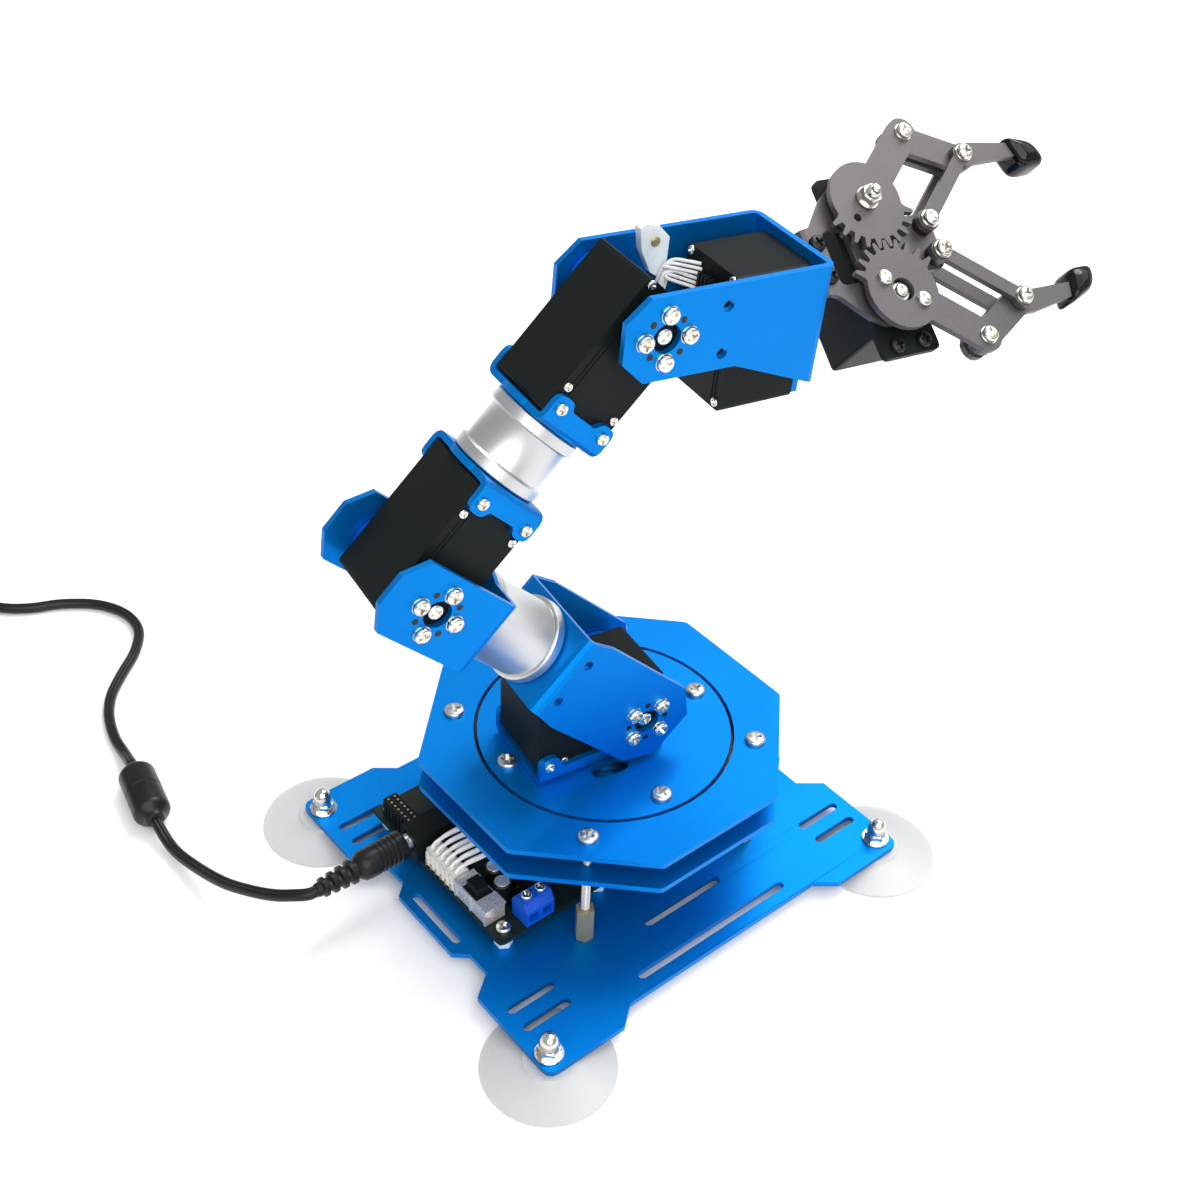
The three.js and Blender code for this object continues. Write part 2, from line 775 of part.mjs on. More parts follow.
// The bolt that the idler gear turns on, its head under the frame and a nut on top.
function idlerBolt() {
  const { plateTop, gearTop } = JAW;
  const nut = gearTop + GAP;
  const bolt = turned([
    [0, plateTop - SHEET - GAP - 2],
    [3, plateTop - SHEET - GAP - 2],
    [3, plateTop - SHEET - GAP],
    [1.8, plateTop - SHEET - GAP],
    [1.8, plateTop + GAP],
    [3.6, plateTop + GAP],
    [3.6, gearTop - SHEET - GAP],
    [1.8, gearTop - SHEET - GAP],
    [1.8, nut + 4.6],
    [1.2, nut + 5.2],
    [0, nut + 5.2],
  ], 12);
  return joined(bolt, plate(circle(0, 0, 3.3, 6), nut, 3));
}

const FINGER = { low: 3, high: 9 };

// The places along a finger where its plate is widened by an eye, at rest.
function fingerSpine(side) {
  return {
    rear: crankPin(side),
    front: fingerPin(side),
    bend: [128, side * 24.9],
    tip: [146.5, side * 23.8],
  };
}

// The upper plate of a finger, from the crank's pin out to the tip.
function fingerPlate(side, low, high, grow) {
  const { rear, front, bend, tip } = fingerSpine(side);
  const slab = (from, to, r1, r2) => plate(linkOutline(from, to, r1 + grow, r2 + grow), low, high - low);
  return joined(slab(rear, front, 4.4, 4.4), slab(front, bend, 4.4, 3.5), slab(bend, tip, 3.5, 2.1));
}

// A finger: its long upper plate, a short lower one and the bushings between them.
function finger(side) {
  const { rear, front } = fingerSpine(side);
  const { low, high } = FINGER;
  const lower = plate(linkOutline(rear, front, 4.2, 4.2), low, SHEET);
  const bushings = [rear, front].map((pin) => rod(...pin, low + 1, high - 1, 3.4, 16));
  const holes = [rear, front].map((pin) => rod(...pin, 0, 12, 2.15, 14));
  const body = fingerPlate(side, high - SHEET, high, 0).add(joined(lower, ...bushings));
  return cut(body, ...holes);
}

// The rubber boot over a fingertip, open at the back.
function fingerPad(side) {
  const corners = [[142.3, 28.6, 2.6], [153, 25.2, 4], [155.3, 17.4, 3.2], [145.4, 17.4, 3.6]];
  const centre = [149.4, 22.2];
  const outline = (share) => rounded(corners.map(([x, y, r]) => [
    centre[0] + (x - centre[0]) * share,
    side * (centre[1] + (y - centre[1]) * share),
    r * share,
  ]), 4);
  const boot = joined(plate(outline(1), 2.2, 7.4), plate(outline(0.85), 1.3, 9.2));
  return boot.subtract(fingerPlate(side, FINGER.high - SHEET - GAP, FINGER.high + GAP, GAP));
}

function angles(centre, first, last) {
  const pitch = 360 / JAW.teeth;
  const list = [];
  for (let k = first; k <= last; k += 1) {
    list.push(centre + pitch * k);
  }
  return list;
}

function addGripper(jaw) {
  add(jaw, 'gripper_frame', gripperFrame(), GUNMETAL);
  const seat = JAW.plateTop - SHEET - GAP;
  const halfHeight = 12.5;
  const body = servo(9.8, 30.5, 10, halfHeight, halfHeight + 2.8);
  const ears = plate(rounded([
    [-17.5, -10.2, 2],
    [40, -10.2, 2],
    [40, -2, 1.5],
    [37.5, 0, 1],
    [40, 2, 1.5],
    [40, 10.2, 2],
    [-17.5, 10.2, 2],
  ]), halfHeight - 2.2, 2.2);
  const boltPocket = rod(2 * JAW.gearY, 0, halfHeight - 2.4, halfHeight + 1, 3.5, 12);
  const whole = cut(body.add(solid(ears)), boltPocket);
  const place = [JAW.gearX, -JAW.gearY, seat - halfHeight];
  add(jaw, 'gripper_servo', whole, BLACK, place, [0, 0, Math.PI / 2]);
  add(jaw, 'idler_bolt', idlerBolt(), STEEL, [JAW.gearX, JAW.gearY, 0]);

  const drive = gearedCrank(-1, angles(90, -4, 4));
  const shaftHole = rod(JAW.gearX, -JAW.gearY, 0, 20, 3.6, 20);
  add(jaw, 'drive_crank', cut(drive, shaftHole), GUNMETAL);
  const idle = gearedCrank(1, angles(-90 + 180 / JAW.teeth, -5, 4));
  const idlerHoles = [
    rod(JAW.gearX, JAW.gearY, 0, 20, 2.1, 14),
    rod(JAW.gearX - 5.6, JAW.gearY - 5.2, 0, 20, 1.3, 10),
  ];
  add(jaw, 'idler_crank', cut(idle, ...idlerHoles), GUNMETAL);
  for (const [name, side] of [['right', -1], ['left', 1]]) {
    add(jaw, `link_pivot_${name}`, linkPivot(side), STEEL);
    add(jaw, `finger_link_${name}`, fingerLink(side), GUNMETAL);
    add(jaw, `finger_${name}`, finger(side), GUNMETAL);
    add(jaw, `finger_pad_${name}`, fingerPad(side), RUBBER);
  }
}

// Power lead ---------------------------------------------------------------------------------

// A plain tube of the lead's own diameter along hand-laid points.
function leadTube(points, steps) {
  const section = shapeOf(circle(0, 0, LEAD.radius, LEAD.sides));
  const path = new THREE.CatmullRomCurve3(points.map((point) => new THREE.Vector3(...point)));
  return new THREE.ExtrudeGeometry(section, { steps, extrudePath: path, bevelEnabled: false });
}

function addLead() {
  const plug = turned([
    [0, -8],
    [2.75, -8],
    [2.75, 0],
    [5.2, 0.5],
    [5.2, 17],
    [3.6, 19],
    [2.6, 33],
    [0, 33],
  ], 20).rotateY(-Math.PI / 2);
  add(object, 'lead_plug', plug, RUBBER, [-66.2, JACK.y, JACK.z]);

  const restZ = FLOOR_Z + LEAD.radius + 0.05;
  const fall = [
    [-99.9, 22.5, 16],
    [-102.4, 23.2, 15.8],
    [-105.6, 26.2, 14.9],
    [-109.6, 31.6, 12.8],
    [-113.6, 40.7, 9.4],
    [-117.4, 53, 5.2],
    [-120, 69, 1],
    [-121.2, 82, -0.9],
    [-120.8, 93.3, 1.6],
  ];
  add(object, 'lead_near', leadTube(fall, 18), RUBBER);

  const bead = { radius: 6.5, half: 14.5, x: -117.9, y: 108, turn: 11.5 };
  const ferrite = turned([
    [0, -bead.half],
    [3.2, -bead.half],
    [4.6, 3 - bead.half],
    [bead.radius, 4.5 - bead.half],
    [bead.radius, bead.half - 4.5],
    [4.6, bead.half - 3],
    [3.2, bead.half],
    [0, bead.half],
  ], 20).rotateX(-Math.PI / 2).rotateZ(rad(-bead.turn));
  add(object, 'ferrite_bead', ferrite, RUBBER, [bead.x, bead.y, FLOOR_Z + bead.radius + 0.05]);

  const along = [
    [-114.9, 122.9, 1.9],
    [-114.3, 126, 1.2],
    [-113, 134, -1.4],
    [-111.8, 144.5, restZ],
    [-108.2, 156.5, restZ],
    [-102.2, 166.6, restZ],
    [-93.6, 175.2, restZ],
    [-83.8, 184, restZ],
    [-76.6, 195, restZ],
    [-76.2, 207.5, restZ],
    [-82.4, 219.4, restZ],
    [-93.4, 228.2, restZ],
    [-104.5, 233.2, restZ],
    [-113, 239.6, restZ],
    [-118, 247.5, restZ],
    [-119.3, 254, restZ],
  ];
  add(object, 'lead_far', leadTube(along, 30), RUBBER);

  const { radius, halfWidth, height } = COIL;
  const top = FLOOR_Z + height + 0.1;
  const coil = turned([
    [radius - halfWidth, FLOOR_Z + 2],
    [radius - halfWidth + 2, FLOOR_Z + 0.1],
    [radius + halfWidth - 2, FLOOR_Z + 0.1],
    [radius + halfWidth, FLOOR_Z + 2],
    [radius + halfWidth, top - 2],
    [radius + halfWidth - 2, top],
    [radius - halfWidth + 2, top],
    [radius - halfWidth, top - 2],
    [radius - halfWidth, FLOOR_Z + 2],
  ], 28);
  add(object, 'lead_coil', coil, RUBBER, [COIL.x, COIL.y, 0]);

  const tail = [
    [-175.2, 239.5, 0.2],
    [-175.1, 234.5, 0.2],
    [-175, 229, 1.2],
    [-175, 223.3, 2.4],
  ];
  add(object, 'lead_tail', leadTube(tail, 5), RUBBER);
  const housing = rounded([[-193, 158.7, 4], [-157, 158.7, 4], [-157, 222.7, 4], [-193, 222.7, 4]], 3);
  const inlet = rounded([[-182, 158, 2], [-168, 158, 2], [-168, 168], [-182, 168]], 2);
  const adapter = cut(solid(plate(housing, FLOOR_Z + 0.1, 27)), plate(inlet, 5, 8));
  add(object, 'power_adapter', adapter, BLACK);
}

addBase();
addBoard();
addTurntable();
addLowerArm();
addForearm();
addGripper(addWrist());
addLead();

export default object;
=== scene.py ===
import math

import bmesh
import bpy
from mathutils import Matrix, Vector


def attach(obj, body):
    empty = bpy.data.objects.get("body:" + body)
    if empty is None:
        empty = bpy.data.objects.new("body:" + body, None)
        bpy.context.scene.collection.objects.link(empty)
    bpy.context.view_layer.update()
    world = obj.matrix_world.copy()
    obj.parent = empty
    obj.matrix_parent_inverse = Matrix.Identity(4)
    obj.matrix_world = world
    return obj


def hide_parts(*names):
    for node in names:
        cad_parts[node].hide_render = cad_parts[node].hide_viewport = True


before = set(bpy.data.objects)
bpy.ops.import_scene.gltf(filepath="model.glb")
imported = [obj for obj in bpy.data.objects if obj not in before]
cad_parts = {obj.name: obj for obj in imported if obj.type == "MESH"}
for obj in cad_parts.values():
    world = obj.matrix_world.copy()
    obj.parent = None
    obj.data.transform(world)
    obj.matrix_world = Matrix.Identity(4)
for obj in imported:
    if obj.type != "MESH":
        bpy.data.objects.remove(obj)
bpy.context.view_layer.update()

bpy.context.scene.view_settings.view_transform = "Standard"

# Driving dimensions, in millimetres and degrees, as in the CAD part --------------------------

FLOOR_Z = -4.5
YAW = -9
LOWER_ARM_ANGLE = 135
FOREARM_ANGLE = 44.5
WRIST_ANGLE = -3.8
ROLL = -52.5
CRANK_ANGLE = 40
SHOULDER = (3.7, 65.2)  # forward and up from the middle of the base
LOWER_ARM = 101
FOREARM = 96.4
SHEET = 2
GAP = 0.3
WRIST_BRACKET = 54  # from the wrist's axis to the bracket's outer face
BRACKET_HALF = 19.3  # from a joint's middle to a bracket's outer face
CUP_HALF = 15.1  # and to a servo cup's
SERVO_FRONT, SERVO_BACK, SERVO_DEPTH = 9.5, 35.5, 12.8
GEAR = (81.1, 14.5)
PIVOT = (100, 5)
CRANK = 29.5
PLATE_TOP, GEAR_TOP = 7.3, 11.5
DECK_SEAT = 48.55  # under the screw heads on the upper deck and the turntable
BOARD_TOP = 8.7


# Frames --------------------------------------------------------------------------------------

def turn(angle, axis):
    return Matrix.Rotation(math.radians(angle), 4, axis)


def shift(x, y, z):
    return Matrix.Translation((x, y, z))


TURRET = turn(YAW, "Z")


def link_frame(forward, z, angle):
    """On a joint's axis: x along the link, z along the axis towards the arm's right."""
    return TURRET @ shift(forward, 0, z) @ turn(90, "X") @ turn(angle, "Z")


def reach(start, length, angle):
    a = math.radians(angle)
    return start[0] + length * math.cos(a), start[1] + length * math.sin(a)


ELBOW = reach(SHOULDER, LOWER_ARM, LOWER_ARM_ANGLE)
WRIST = reach(ELBOW, FOREARM, FOREARM_ANGLE)
BASE = Matrix()
CRADLE = link_frame(*SHOULDER, -90)
SHOULDER_SERVO = link_frame(*SHOULDER, 180)
LOWER = link_frame(*SHOULDER, LOWER_ARM_ANGLE)
LOWER_TOP = link_frame(*ELBOW, LOWER_ARM_ANGLE)
FORE = link_frame(*ELBOW, FOREARM_ANGLE)
FORE_TOP = link_frame(*WRIST, FOREARM_ANGLE + 180)
HAND = link_frame(*WRIST, WRIST_ANGLE)
ROLL_SERVO = (
    HAND @ shift(WRIST_BRACKET - SHEET - GAP - SERVO_DEPTH, 0, 0) @ turn(90, "Y") @ turn(-90, "Z")
)
JAW = HAND @ turn(ROLL, "X")
MIRROR = turn(180, "X")  # the far side of a joint


def crank_pin(side):
    a = math.radians(CRANK_ANGLE)
    return GEAR[0] + CRANK * math.cos(a), side * (GEAR[1] + CRANK * math.sin(a))


def finger_pin(side):
    a = math.radians(CRANK_ANGLE)
    return PIVOT[0] + CRANK * math.cos(a), side * (PIVOT[1] + CRANK * math.sin(a))


# Camera, solved from points in the photo, in degrees and metres -------------------------------

CAMERA_ANGLES = (-41.04, 38.96, 2.67)  # azimuth, elevation and roll
CAMERA_TARGET = (0.01389, 0.02095, 0.082)
CAMERA_DISTANCE = 0.53376


def camera():
    data = bpy.data.cameras.new("camera")
    data.sensor_width = 36
    data.lens = 48.54
    made = bpy.data.objects.new("camera", data)
    bpy.context.scene.collection.objects.link(made)
    azimuth, elevation, roll = (math.radians(a) for a in CAMERA_ANGLES)
    back = Vector((
        math.sin(azimuth) * math.cos(elevation),
        -math.cos(azimuth) * math.cos(elevation),
        math.sin(elevation),
    ))
    right = Vector((math.cos(azimuth), math.sin(azimuth), 0))
    up = back.cross(right)
    axes = (
        math.cos(roll) * right + math.sin(roll) * up,
        math.cos(roll) * up - math.sin(roll) * right,
        back,
    )
    place = Matrix(axes).transposed().to_4x4()
    place.translation = Vector(CAMERA_TARGET) + back * CAMERA_DISTANCE
    made.matrix_world = place
    bpy.context.scene.camera = made


# Materials -----------------------------------------------------------------------------------

BUMP_DISTANCE = 0.0002  # metres


def surface(name, low, high, rough, grain, patch, bump, metallic=0.0, **sockets):
    """Two close tones in soft patches, with a fine grain in tone, roughness and height."""
    made = bpy.data.materials.new(name)
    made.use_nodes = True
    nodes, links = made.node_tree.nodes, made.node_tree.links
    shader = nodes["Principled BSDF"]
    shader.inputs["Metallic"].default_value = metallic
    for socket, value in sockets.items():
        shader.inputs[socket.replace("_", " ")].default_value = value
    place = nodes.new("ShaderNodeTexCoord")

    def noise(scale, detail):
        node = nodes.new("ShaderNodeTexNoise")
        node.inputs["Scale"].default_value = scale
        node.inputs["Detail"].default_value = detail
        links.new(place.outputs["Object"], node.inputs["Vector"])
        return node.outputs["Fac"]

    tones = nodes.new("ShaderNodeValToRGB")
    tones.color_ramp.elements[0].position = 0.35
    tones.color_ramp.elements[0].color = (*low, 1)
    tones.color_ramp.elements[1].position = 0.65
    tones.color_ramp.elements[1].color = (*high, 1)
    mixed = nodes.new("ShaderNodeMath")
    mixed.operation = "MULTIPLY_ADD"
    mixed.inputs[1].default_value = 0.6
    fine = noise(grain, 3)
    half = nodes.new("ShaderNodeMath")
    half.operation = "MULTIPLY"
    half.inputs[1].default_value = 0.5
    links.new(noise(patch, 2), half.inputs[0])
    links.new(fine, mixed.inputs[0])
    links.new(half.outputs[0], mixed.inputs[2])
    links.new(mixed.outputs[0], tones.inputs["Fac"])
    links.new(tones.outputs["Color"], shader.inputs["Base Color"])
    spread = nodes.new("ShaderNodeMapRange")
    spread.inputs["From Min"].default_value = 0.3
    spread.inputs["From Max"].default_value = 0.7
    spread.inputs["To Min"].default_value = rough[0]
    spread.inputs["To Max"].default_value = rough[1]
    links.new(fine, spread.inputs["Value"])
    links.new(spread.outputs["Result"], shader.inputs["Roughness"])
    height = nodes.new("ShaderNodeBump")
    height.inputs["Strength"].default_value = bump
    height.inputs["Distance"].default_value = BUMP_DISTANCE
    links.new(fine, height.inputs["Height"])
    links.new(height.outputs["Normal"], shader.inputs["Normal"])
    return made


BLUE = surface("blue_anodised", (0.0, 0.165, 0.56), (0.0, 0.205, 0.64), (0.38, 0.5), grain=2800,
               patch=25, metallic=0.76, bump=0.1, Specular_IOR_Level=0.1)
BLACK = surface("servo_black", (0.0045, 0.007, 0.0068), (0.0075, 0.0105, 0.01), (0.42, 0.55),
                grain=3500, patch=50, bump=0.1, Specular_IOR_Level=0.1)
SILVER = surface("turned_aluminium", (0.53, 0.54, 0.555), (0.6, 0.605, 0.61), (0.32, 0.42),
                 grain=4200, patch=40, metallic=1.0, bump=0.12)
CHROME = surface("screw_steel", (0.6, 0.58, 0.53), (0.78, 0.76, 0.71), (0.13, 0.22), grain=900,
                 patch=90, metallic=1.0, bump=0.03)
ZINC = surface("zinc_steel", (0.52, 0.53, 0.53), (0.68, 0.68, 0.67), (0.26, 0.32), grain=3000,
               patch=60, metallic=1.0, bump=0.02)
TIN = surface("tinned_steel", (0.72, 0.71, 0.66), (0.84, 0.83, 0.78), (0.26, 0.32), grain=2200,
              patch=60, metallic=0.7, bump=0.015)
BRASS = surface("brass", (0.36, 0.29, 0.14), (0.46, 0.38, 0.2), (0.3, 0.38), grain=1800,
                patch=90, metallic=0.6, bump=0.02)
GUNMETAL = surface("gunmetal", (0.098, 0.088, 0.091), (0.128, 0.117, 0.12), (0.34, 0.48),
                   grain=2200, patch=25, metallic=0.6, bump=0.08, Specular_IOR_Level=0.3)
DARK_METAL = surface("blackened_steel", (0.012, 0.011, 0.011), (0.022, 0.02, 0.02), (0.25, 0.38),
                     grain=1500, patch=120, metallic=0.5, bump=0.05)
RUBBER = surface("black_rubber", (0.0045, 0.0045, 0.005), (0.008, 0.008, 0.0085), (0.3, 0.44),
                 grain=2500, patch=90, bump=0.1, Specular_IOR_Level=0.28)
GLOSS_RUBBER = surface("glossy_rubber", (0.002, 0.002, 0.0022), (0.0035, 0.0035, 0.004),
                       (0.06, 0.12), grain=500, patch=40, bump=0.03, Specular_IOR_Level=0.3)
CLEAR = surface("clear_silicone", (0.62, 0.63, 0.63), (0.64, 0.65, 0.65), (0.24, 0.27), grain=500,
                patch=20, bump=0.005, Transmission_Weight=0.1, IOR=1.4, Alpha=0.7)
PCB = surface("circuit_board", (0.004, 0.008, 0.006), (0.01, 0.02, 0.014), (0.3, 0.5),
              grain=2200, patch=350, bump=0.1, Specular_IOR_Level=0.25)
PORT_WHITE = surface("white_nylon", (0.62, 0.61, 0.56), (0.76, 0.75, 0.7), (0.35, 0.5),
                     grain=1800, patch=150, bump=0.08)
WIRE_WHITE = surface("white_wire", (0.7, 0.68, 0.68), (0.82, 0.81, 0.81), (0.3, 0.45),
                     grain=1200, patch=200, bump=0.05)
NYLON = surface("natural_nylon", (0.78, 0.81, 0.84), (0.86, 0.88, 0.9), (0.25, 0.4), grain=600,
                patch=60, bump=0.03, Subsurface_Weight=0.2)
TERMINAL = surface("terminal_blue", (0.0, 0.06, 0.46), (0.003, 0.085, 0.56), (0.28, 0.42),
                   grain=1500, patch=200, bump=0.06, Specular_IOR_Level=0.3)
ADAPTER = surface("adapter_black", (0.007, 0.007, 0.0075), (0.012, 0.012, 0.013), (0.42, 0.6),
                  grain=1300, patch=90, bump=0.4, Specular_IOR_Level=0.3)
FLOOR = surface("floor_paper", (0.87, 0.87, 0.87), (0.9, 0.9, 0.9), (0.8, 0.9), grain=300, patch=4,
                bump=0.02, Specular_IOR_Level=0.1)


# Pieces --------------------------------------------------------------------------------------

SOFT_ANGLE = 38  # edges flatter than this many degrees are shaded smooth
SCREW_ANGLE = 50
EDGE_ANGLE = 0.6  # radians; a prism's edges sharper than this are bevelled
WIRE_STEPS = 6  # points on a wire's curve for each point given


class Piece:
    """A mesh made in millimetres from lathed, extruded and copied forms."""

    def __init__(self, matrix=BASE):
        self.bm = bmesh.new()
        self.matrix = matrix

    def lathe(self, profile, place=BASE, steps=40):
        m = self.matrix @ place
        rings = []
        for r, z in profile:
            if r < 1e-6:
                rings.append([self.bm.verts.new(m @ Vector((0, 0, z)))])
                continue
            ring = []
            for i in range(steps):
                a = 2 * math.pi * i / steps
                ring.append(self.bm.verts.new(m @ Vector((r * math.cos(a), r * math.sin(a), z))))
            rings.append(ring)
        for low, high in zip(rings, rings[1:]):
            for i in range(steps):
                j = (i + 1) % steps
                corners = list(dict.fromkeys((
                    low[i % len(low)], low[j % len(low)], high[j % len(high)], high[i % len(high)],
                )))
                if len(corners) > 2:
                    self.bm.faces.new(corners)
        return self

    def skin(self, rings):
        """Faces between rings of as many points each, and a cap on each end."""
        count = len(rings[0])
        for low, high in zip(rings, rings[1:]):
            for i in range(count):
                j = (i + 1) % count
                self.bm.faces.new((low[i], low[j], high[j], high[i]))
        self.bm.faces.new(rings[0][::-1])
        self.bm.faces.new(rings[-1])

    def prism(self, outline, low, high, place=BASE, bevel=0.0):
        m = self.matrix @ place
        bottom = [self.bm.verts.new(m @ Vector((x, y, low))) for x, y in outline]
        top = [self.bm.verts.new(m @ Vector((x, y, high))) for x, y in outline]
        count = len(outline)
        faces = [self.bm.faces.new(bottom[::-1]), self.bm.faces.new(top)]
        for i in range(count):
            j = (i + 1) % count
            faces.append(self.bm.faces.new((bottom[i], bottom[j], top[j], top[i])))
        if bevel:
            edges = {e for f in faces for e in f.edges if e.calc_face_angle(0) > EDGE_ANGLE}
            bmesh.ops.bevel(
                self.bm, geom=list(edges), offset=bevel, segments=2, profile=0.5,
                affect="EDGES", clamp_overlap=True,
            )
        return self

    def pillow(self, outline, levels):
        """The outline drawn in towards its middle at each level."""
        middle = Vector((
            sum(x for x, _ in outline) / len(outline), sum(y for _, y in outline) / len(outline),
        ))
        rings = []
        for z, share in levels:
            ring = []
            for x, y in outline:
                at = middle + (Vector((x, y)) - middle) * share
                ring.append(self.bm.verts.new(self.matrix @ Vector((at.x, at.y, z))))
            rings.append(ring)
        self.skin(rings)

    def box(self, low, high, place=BASE, bevel=0.0):
        (x0, y0, z0), (x1, y1, z1) = low, high
        self.prism([(x0, y0), (x1, y0), (x1, y1), (x0, y1)], z0, z1, place, bevel)

    def copy(self, mesh, place=BASE):
        start = len(self.bm.verts)
        self.bm.from_mesh(mesh)
        self.bm.verts.ensure_lookup_table()
        bmesh.ops.transform(self.bm, matrix=self.matrix @ place, verts=self.bm.verts[start:])

    def sweep(self, points, radius, sides=8):
        """A round wire along smooth points."""
        line = smooth_line([Vector(p) for p in points], WIRE_STEPS)
        normal = (line[1] - line[0]).orthogonal().normalized()
        rings = []
        for p, tangent in zip(line, tangents(line)):
            normal = (normal - tangent * normal.dot(tangent)).normalized()
            other = tangent.cross(normal)
            ring = []
            for k in range(sides):
                a = 2 * math.pi * k / sides
                ring.append(self.bm.verts.new(
                    self.matrix @ (p + radius * (math.cos(a) * normal + math.sin(a) * other))
                ))
            rings.append(ring)
        self.skin(rings)

    def loft(self, line, section):
        """The section along the line, kept upright."""
        rings = []
        for p, tangent in zip(line, tangents(line)):
            across = Vector((0, 0, 1)).cross(tangent).normalized()
            up = tangent.cross(across)
            rings.append([
                self.bm.verts.new(self.matrix @ (p + x * across + y * up)) for x, y in section
            ])
        self.skin(rings)

    def mesh(self, name):
        bmesh.ops.recalc_face_normals(self.bm, faces=self.bm.faces)
        made = bpy.data.meshes.new(name)
        self.bm.to_mesh(made)
        self.bm.free()
        return made

    def done(self, name, material, body, replaces=(), angle=SOFT_ANGLE):
        """Turns it to metres and hands it to its body."""
        bmesh.ops.transform(self.bm, matrix=Matrix.Scale(0.001, 4), verts=self.bm.verts)
        mesh = self.mesh(name)
        soften(mesh, angle)
        mesh.materials.append(material)
        made = bpy.data.objects.new(name, mesh)
        bpy.context.scene.collection.objects.link(made)
        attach(made, body)
        if replaces:
            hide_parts(*replaces)
        return made


def soften(mesh, angle):
    mesh.polygons.foreach_set("use_smooth", [True] * len(mesh.polygons))
    mesh.set_sharp_from_angle(angle=math.radians(angle))


def tangents(line):
    last = len(line) - 1
    return [(line[min(i + 1, last)] - line[max(i - 1, 0)]).normalized() for i in range(last + 1)]


def smooth_line(points, steps):
    """A Catmull-Rom curve through the points."""
    ends = [2 * points[0] - points[1], *points, 2 * points[-1] - points[-2]]
    line = []
    for a, b, c, d in zip(ends, ends[1:], ends[2:], ends[3:]):
        for i in range(steps):
            t = i / steps
            line.append(0.5 * (
                2 * b + (c - a) * t + (2 * a - 5 * b + 4 * c - d) * t * t
                + (3 * b - a - 3 * c + d) * t * t * t
            ))
    return [*line, points[-1]]


def circle(x, y, radius, sides, start=0.0):
    return [
        (x + radius * math.cos(start + 2 * math.pi * i / sides),
         y + radius * math.sin(start + 2 * math.pi * i / sides))
        for i in range(sides)
    ]


def rounded(corners, steps):
    """Corners given as (x, y, radius) become short curves."""
    points = []
    for i, (x, y, radius) in enumerate(corners):
        here = Vector((x, y))
        before = Vector(corners[i - 1][:2])
        after = Vector(corners[(i + 1) % len(corners)][:2])
        start = here + (before - here).normalized() * radius
        end = here + (after - here).normalized() * radius
        for k in range(steps + 1):
            t = k / steps
            points.append(tuple((1 - t) ** 2 * start + 2 * t * (1 - t) * here + t * t * end))
    return points


def cut_mesh(body, tool, name):
    """A master mesh with another taken out of it."""
    first = bpy.data.objects.new("body_form", body)
    second = bpy.data.objects.new("tool_form", tool)
    for o in (first, second):
        bpy.context.scene.collection.objects.link(o)
    boolean = first.modifiers.new("cut", "BOOLEAN")
    boolean.operation = "DIFFERENCE"
    boolean.solver = "EXACT"
    boolean.object = second
    shown = first.evaluated_get(bpy.context.evaluated_depsgraph_get())
    made = bpy.data.meshes.new_from_object(shown)
    made.name = name
    for o in (first, second):
        bpy.data.objects.remove(o)
    return made


def phillips(radius, height, name):
    """A pan head with a cross recess, its underside at z 0."""
    head = Piece().lathe([
        (0, 0), (radius, 0), (radius, 0.4 * height), (0.97 * radius, 0.66 * height),
        (0.88 * radius, 0.86 * height), (0.7 * radius, 0.97 * height), (0.35 * radius, height),
        (0, height),
    ], steps=36).mesh("pan_head")
    far, near = 0.62 * radius, 0.17 * radius
    outline = [
        (far, -near), (far, near), (near, near), (near, far), (-near, far), (-near, near),
        (-far, near), (-far, -near), (-near, -near), (-near, -far), (near, -far), (near, -near),
    ]
    recess_floor = 0.25 * height
    cross = Piece().prism(outline, recess_floor, height + 1).mesh("cross_recess")
    return cut_mesh(head, cross, name)


SCREW = phillips(2.55, 1.7, "screw_m3")
SMALL_SCREW = phillips(1.85, 1.2, "screw_m2")
CASE_SCREW = phillips(1.4, 0.8, "screw_case")
DOME_SCREW = phillips(3.4, 1.9, "screw_dome")


# CAD nodes that show as they are, with their edges broken (bevels in millimetres) ------------

CAD_SOFT_ANGLE, FLAT_ANGLE, BEVEL_ANGLE = 32, 0.6, 55  # degrees


def finish_node(name, material, bevel=0.0):
    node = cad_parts[name]
    node.data.materials.clear()
    node.data.materials.append(material)
    soften(node.data, CAD_SOFT_ANGLE)
    if bevel:
        flat = node.modifiers.new("flat_faces", "DECIMATE")
        flat.decimate_type = "DISSOLVE"
        flat.angle_limit = math.radians(FLAT_ANGLE)
        edge = node.modifiers.new("broken_edges", "BEVEL")
        edge.width = bevel / 1000
        edge.segments = 2
        edge.limit_method = "ANGLE"
        edge.angle_limit = math.radians(BEVEL_ANGLE)
        edge.use_clamp_overlap = True


